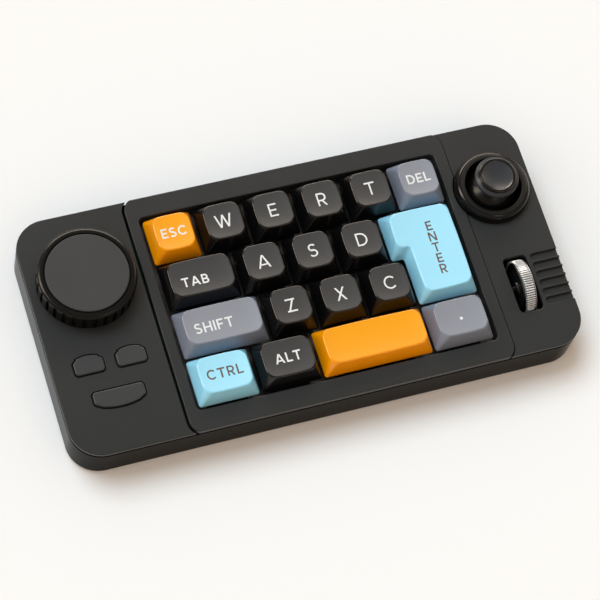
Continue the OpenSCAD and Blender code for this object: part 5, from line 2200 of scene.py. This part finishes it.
@dataclass
class Studio:
    """Pale floor, soft lights and the camera."""

    floor_size: float = 4000.0
    floor_colour: Colour = (252, 250, 248)
    sky: Colour = (255, 241, 224)
    dusk: Colour = (255, 219, 186)
    sky_strength: float = 0.45
    horizon: float = 0.60
    zenith: float = 0.75
    key_colour: Colour = (220, 240, 254)
    fill_colour: Colour = (255, 222, 190)
    side_colour: Colour = (255, 253, 250)
    azimuth: float = -35.282
    elevation: float = 64.948
    roll: float = 19.673
    distance: float = 968.31
    lens: float = 156.0
    sensor: float = 36.0
    shift: Point = (1.99, 1.18)
    box_reach: float = 900.0

    def build(self) -> None:
        """Builds the stage."""
        self.floor()
        self.world()
        self.lights()
        self.camera()
    def floor(self) -> None:
        """Pale matt floor."""
        half = self.floor_size / 2
        draft = Draft()
        draft.face(draft.ring(rectangle((-half, -half), (half, half)), 0.0))
        finish = Finish("stage_floor", self.floor_colour, 0.9, 4.0, 0.0, 0.0, specular=0.1)
        draft.build("floor", finish)

    def world(self) -> None:
        """Warm surround, dim at the horizon and overhead."""
        world = bpy.data.worlds.new("surround")
        world.use_nodes = True
        wiring = Wiring(world.node_tree)
        way = wiring.node("ShaderNodeTexCoord").outputs["Object"]
        height = wiring.node("ShaderNodeSeparateXYZ", {0: way}).outputs[2]
        rise = wiring.spread(height, 0.0, 0.3, self.horizon, 1.0)
        light = wiring.math("MULTIPLY", rise, wiring.spread(height, 0.6, 1.0, 1.0, self.zenith))
        colour = wiring.blend(wiring.spread(height, 0.1, 0.8), linear(self.dusk), linear(self.sky))
        back = world.node_tree.nodes["Background"]
        wiring.feed(back.inputs["Color"], colour)
        wiring.feed(back.inputs["Strength"], wiring.math("MULTIPLY", light, self.sky_strength))
        bpy.context.scene.world = world
        bpy.context.scene.view_settings.view_transform = "Standard"

    def lights(self) -> None:
        """Wide soft suns, and soft boxes that only the gloss picks up."""
        suns = {
            "key": ((-260, 420, 900), 36.0, 2.02, self.key_colour),
            "left_fill": ((-900, -60, 560), 60.0, 0.65, self.side_colour),
            "front_fill": ((-120, -700, 700), 60.0, 0.42, self.fill_colour),
        }
        for name, (place, spread, strength, colour) in suns.items():
            lamp = bpy.data.lights.new(name, "SUN")
            lamp.energy, lamp.angle, lamp.color = strength, math.radians(spread), linear(colour)[:3]
            self.aimed(name, lamp, Vector(place), 0.0).visible_glossy = False
        boxes = {
            "rear_box": ((0.15, 0.85, 0.50), (900, 260), 8.0),
            "right_box": ((0.80, 0.35, 0.50), (320, 320), 1.0),
            "front_box": ((0.25, -0.50, 0.83), (200, 200), 0.3),
            "left_box": ((-0.66, 0.35, 0.66), (300, 500), 4.0),
        }
        for name, (way, size, power) in boxes.items():
            lamp = bpy.data.lights.new(name, "AREA")
            lamp.shape = "RECTANGLE"
            lamp.size, lamp.size_y = (length * MM for length in size)
            lamp.energy, lamp.color = power, linear(self.sky)[:3]
            self.aimed(name, lamp, Vector(way), self.box_reach).visible_diffuse = False

    def aimed(self, name: str, lamp: bpy.types.Light, way: Vector, reach: float) -> bpy.types.Object:
        """Puts a light so far out along a way, facing back to the origin.

        Args:
            name: Name of the light.
            lamp: Its data.
            way: Direction from the origin to the light.
            reach: How many times as far as the way is long it stands.

        Returns:
            The light's object.
        """
        light = linked(name, lamp)
        turn = way.to_track_quat("Z", "Y").to_matrix().to_4x4()
        light.matrix_world = Matrix.Translation(way * reach * MM) @ turn
        return light

    def camera(self) -> None:
        """Long-lens camera that looks down on the keypad, rolled."""
        turn, tilt, roll = (math.radians(a) for a in (self.azimuth, self.elevation, self.roll))
        back = Vector((math.sin(turn) * math.cos(tilt), -math.cos(turn) * math.cos(tilt), math.sin(tilt)))
        right = Vector((math.cos(turn), math.sin(turn), 0))
        up = back.cross(right)
        side = right * math.cos(roll) + up * math.sin(roll)
        rise = up * math.cos(roll) - right * math.sin(roll)
        place = back * self.distance + side * self.shift[0] + rise * self.shift[1]
        lens = bpy.data.cameras.new("camera")
        lens.lens, lens.sensor_width = self.lens, self.sensor
        lens.clip_start, lens.clip_end = 0.01, 20
        camera = linked("camera", lens)
        facing = Matrix((side, rise, back)).transposed().to_4x4()
        camera.matrix_world = Matrix.Translation(place * MM) @ facing
        bpy.context.scene.camera = camera


def main() -> None:
    """Builds the keypad piece by piece."""
    logging.basicConfig(level=logging.INFO, format="%(message)s")
    buttons, stick, wheel = Buttons(), Stick(), Wheel()
    Shell().build(buttons, stick, wheel)
    for key in keys():
        key.build()
    Dial().build()
    buttons.build()
    stick.build()
    wheel.build()
    Inside().build()
    Studio().build()


if __name__ == "__main__":
    main()
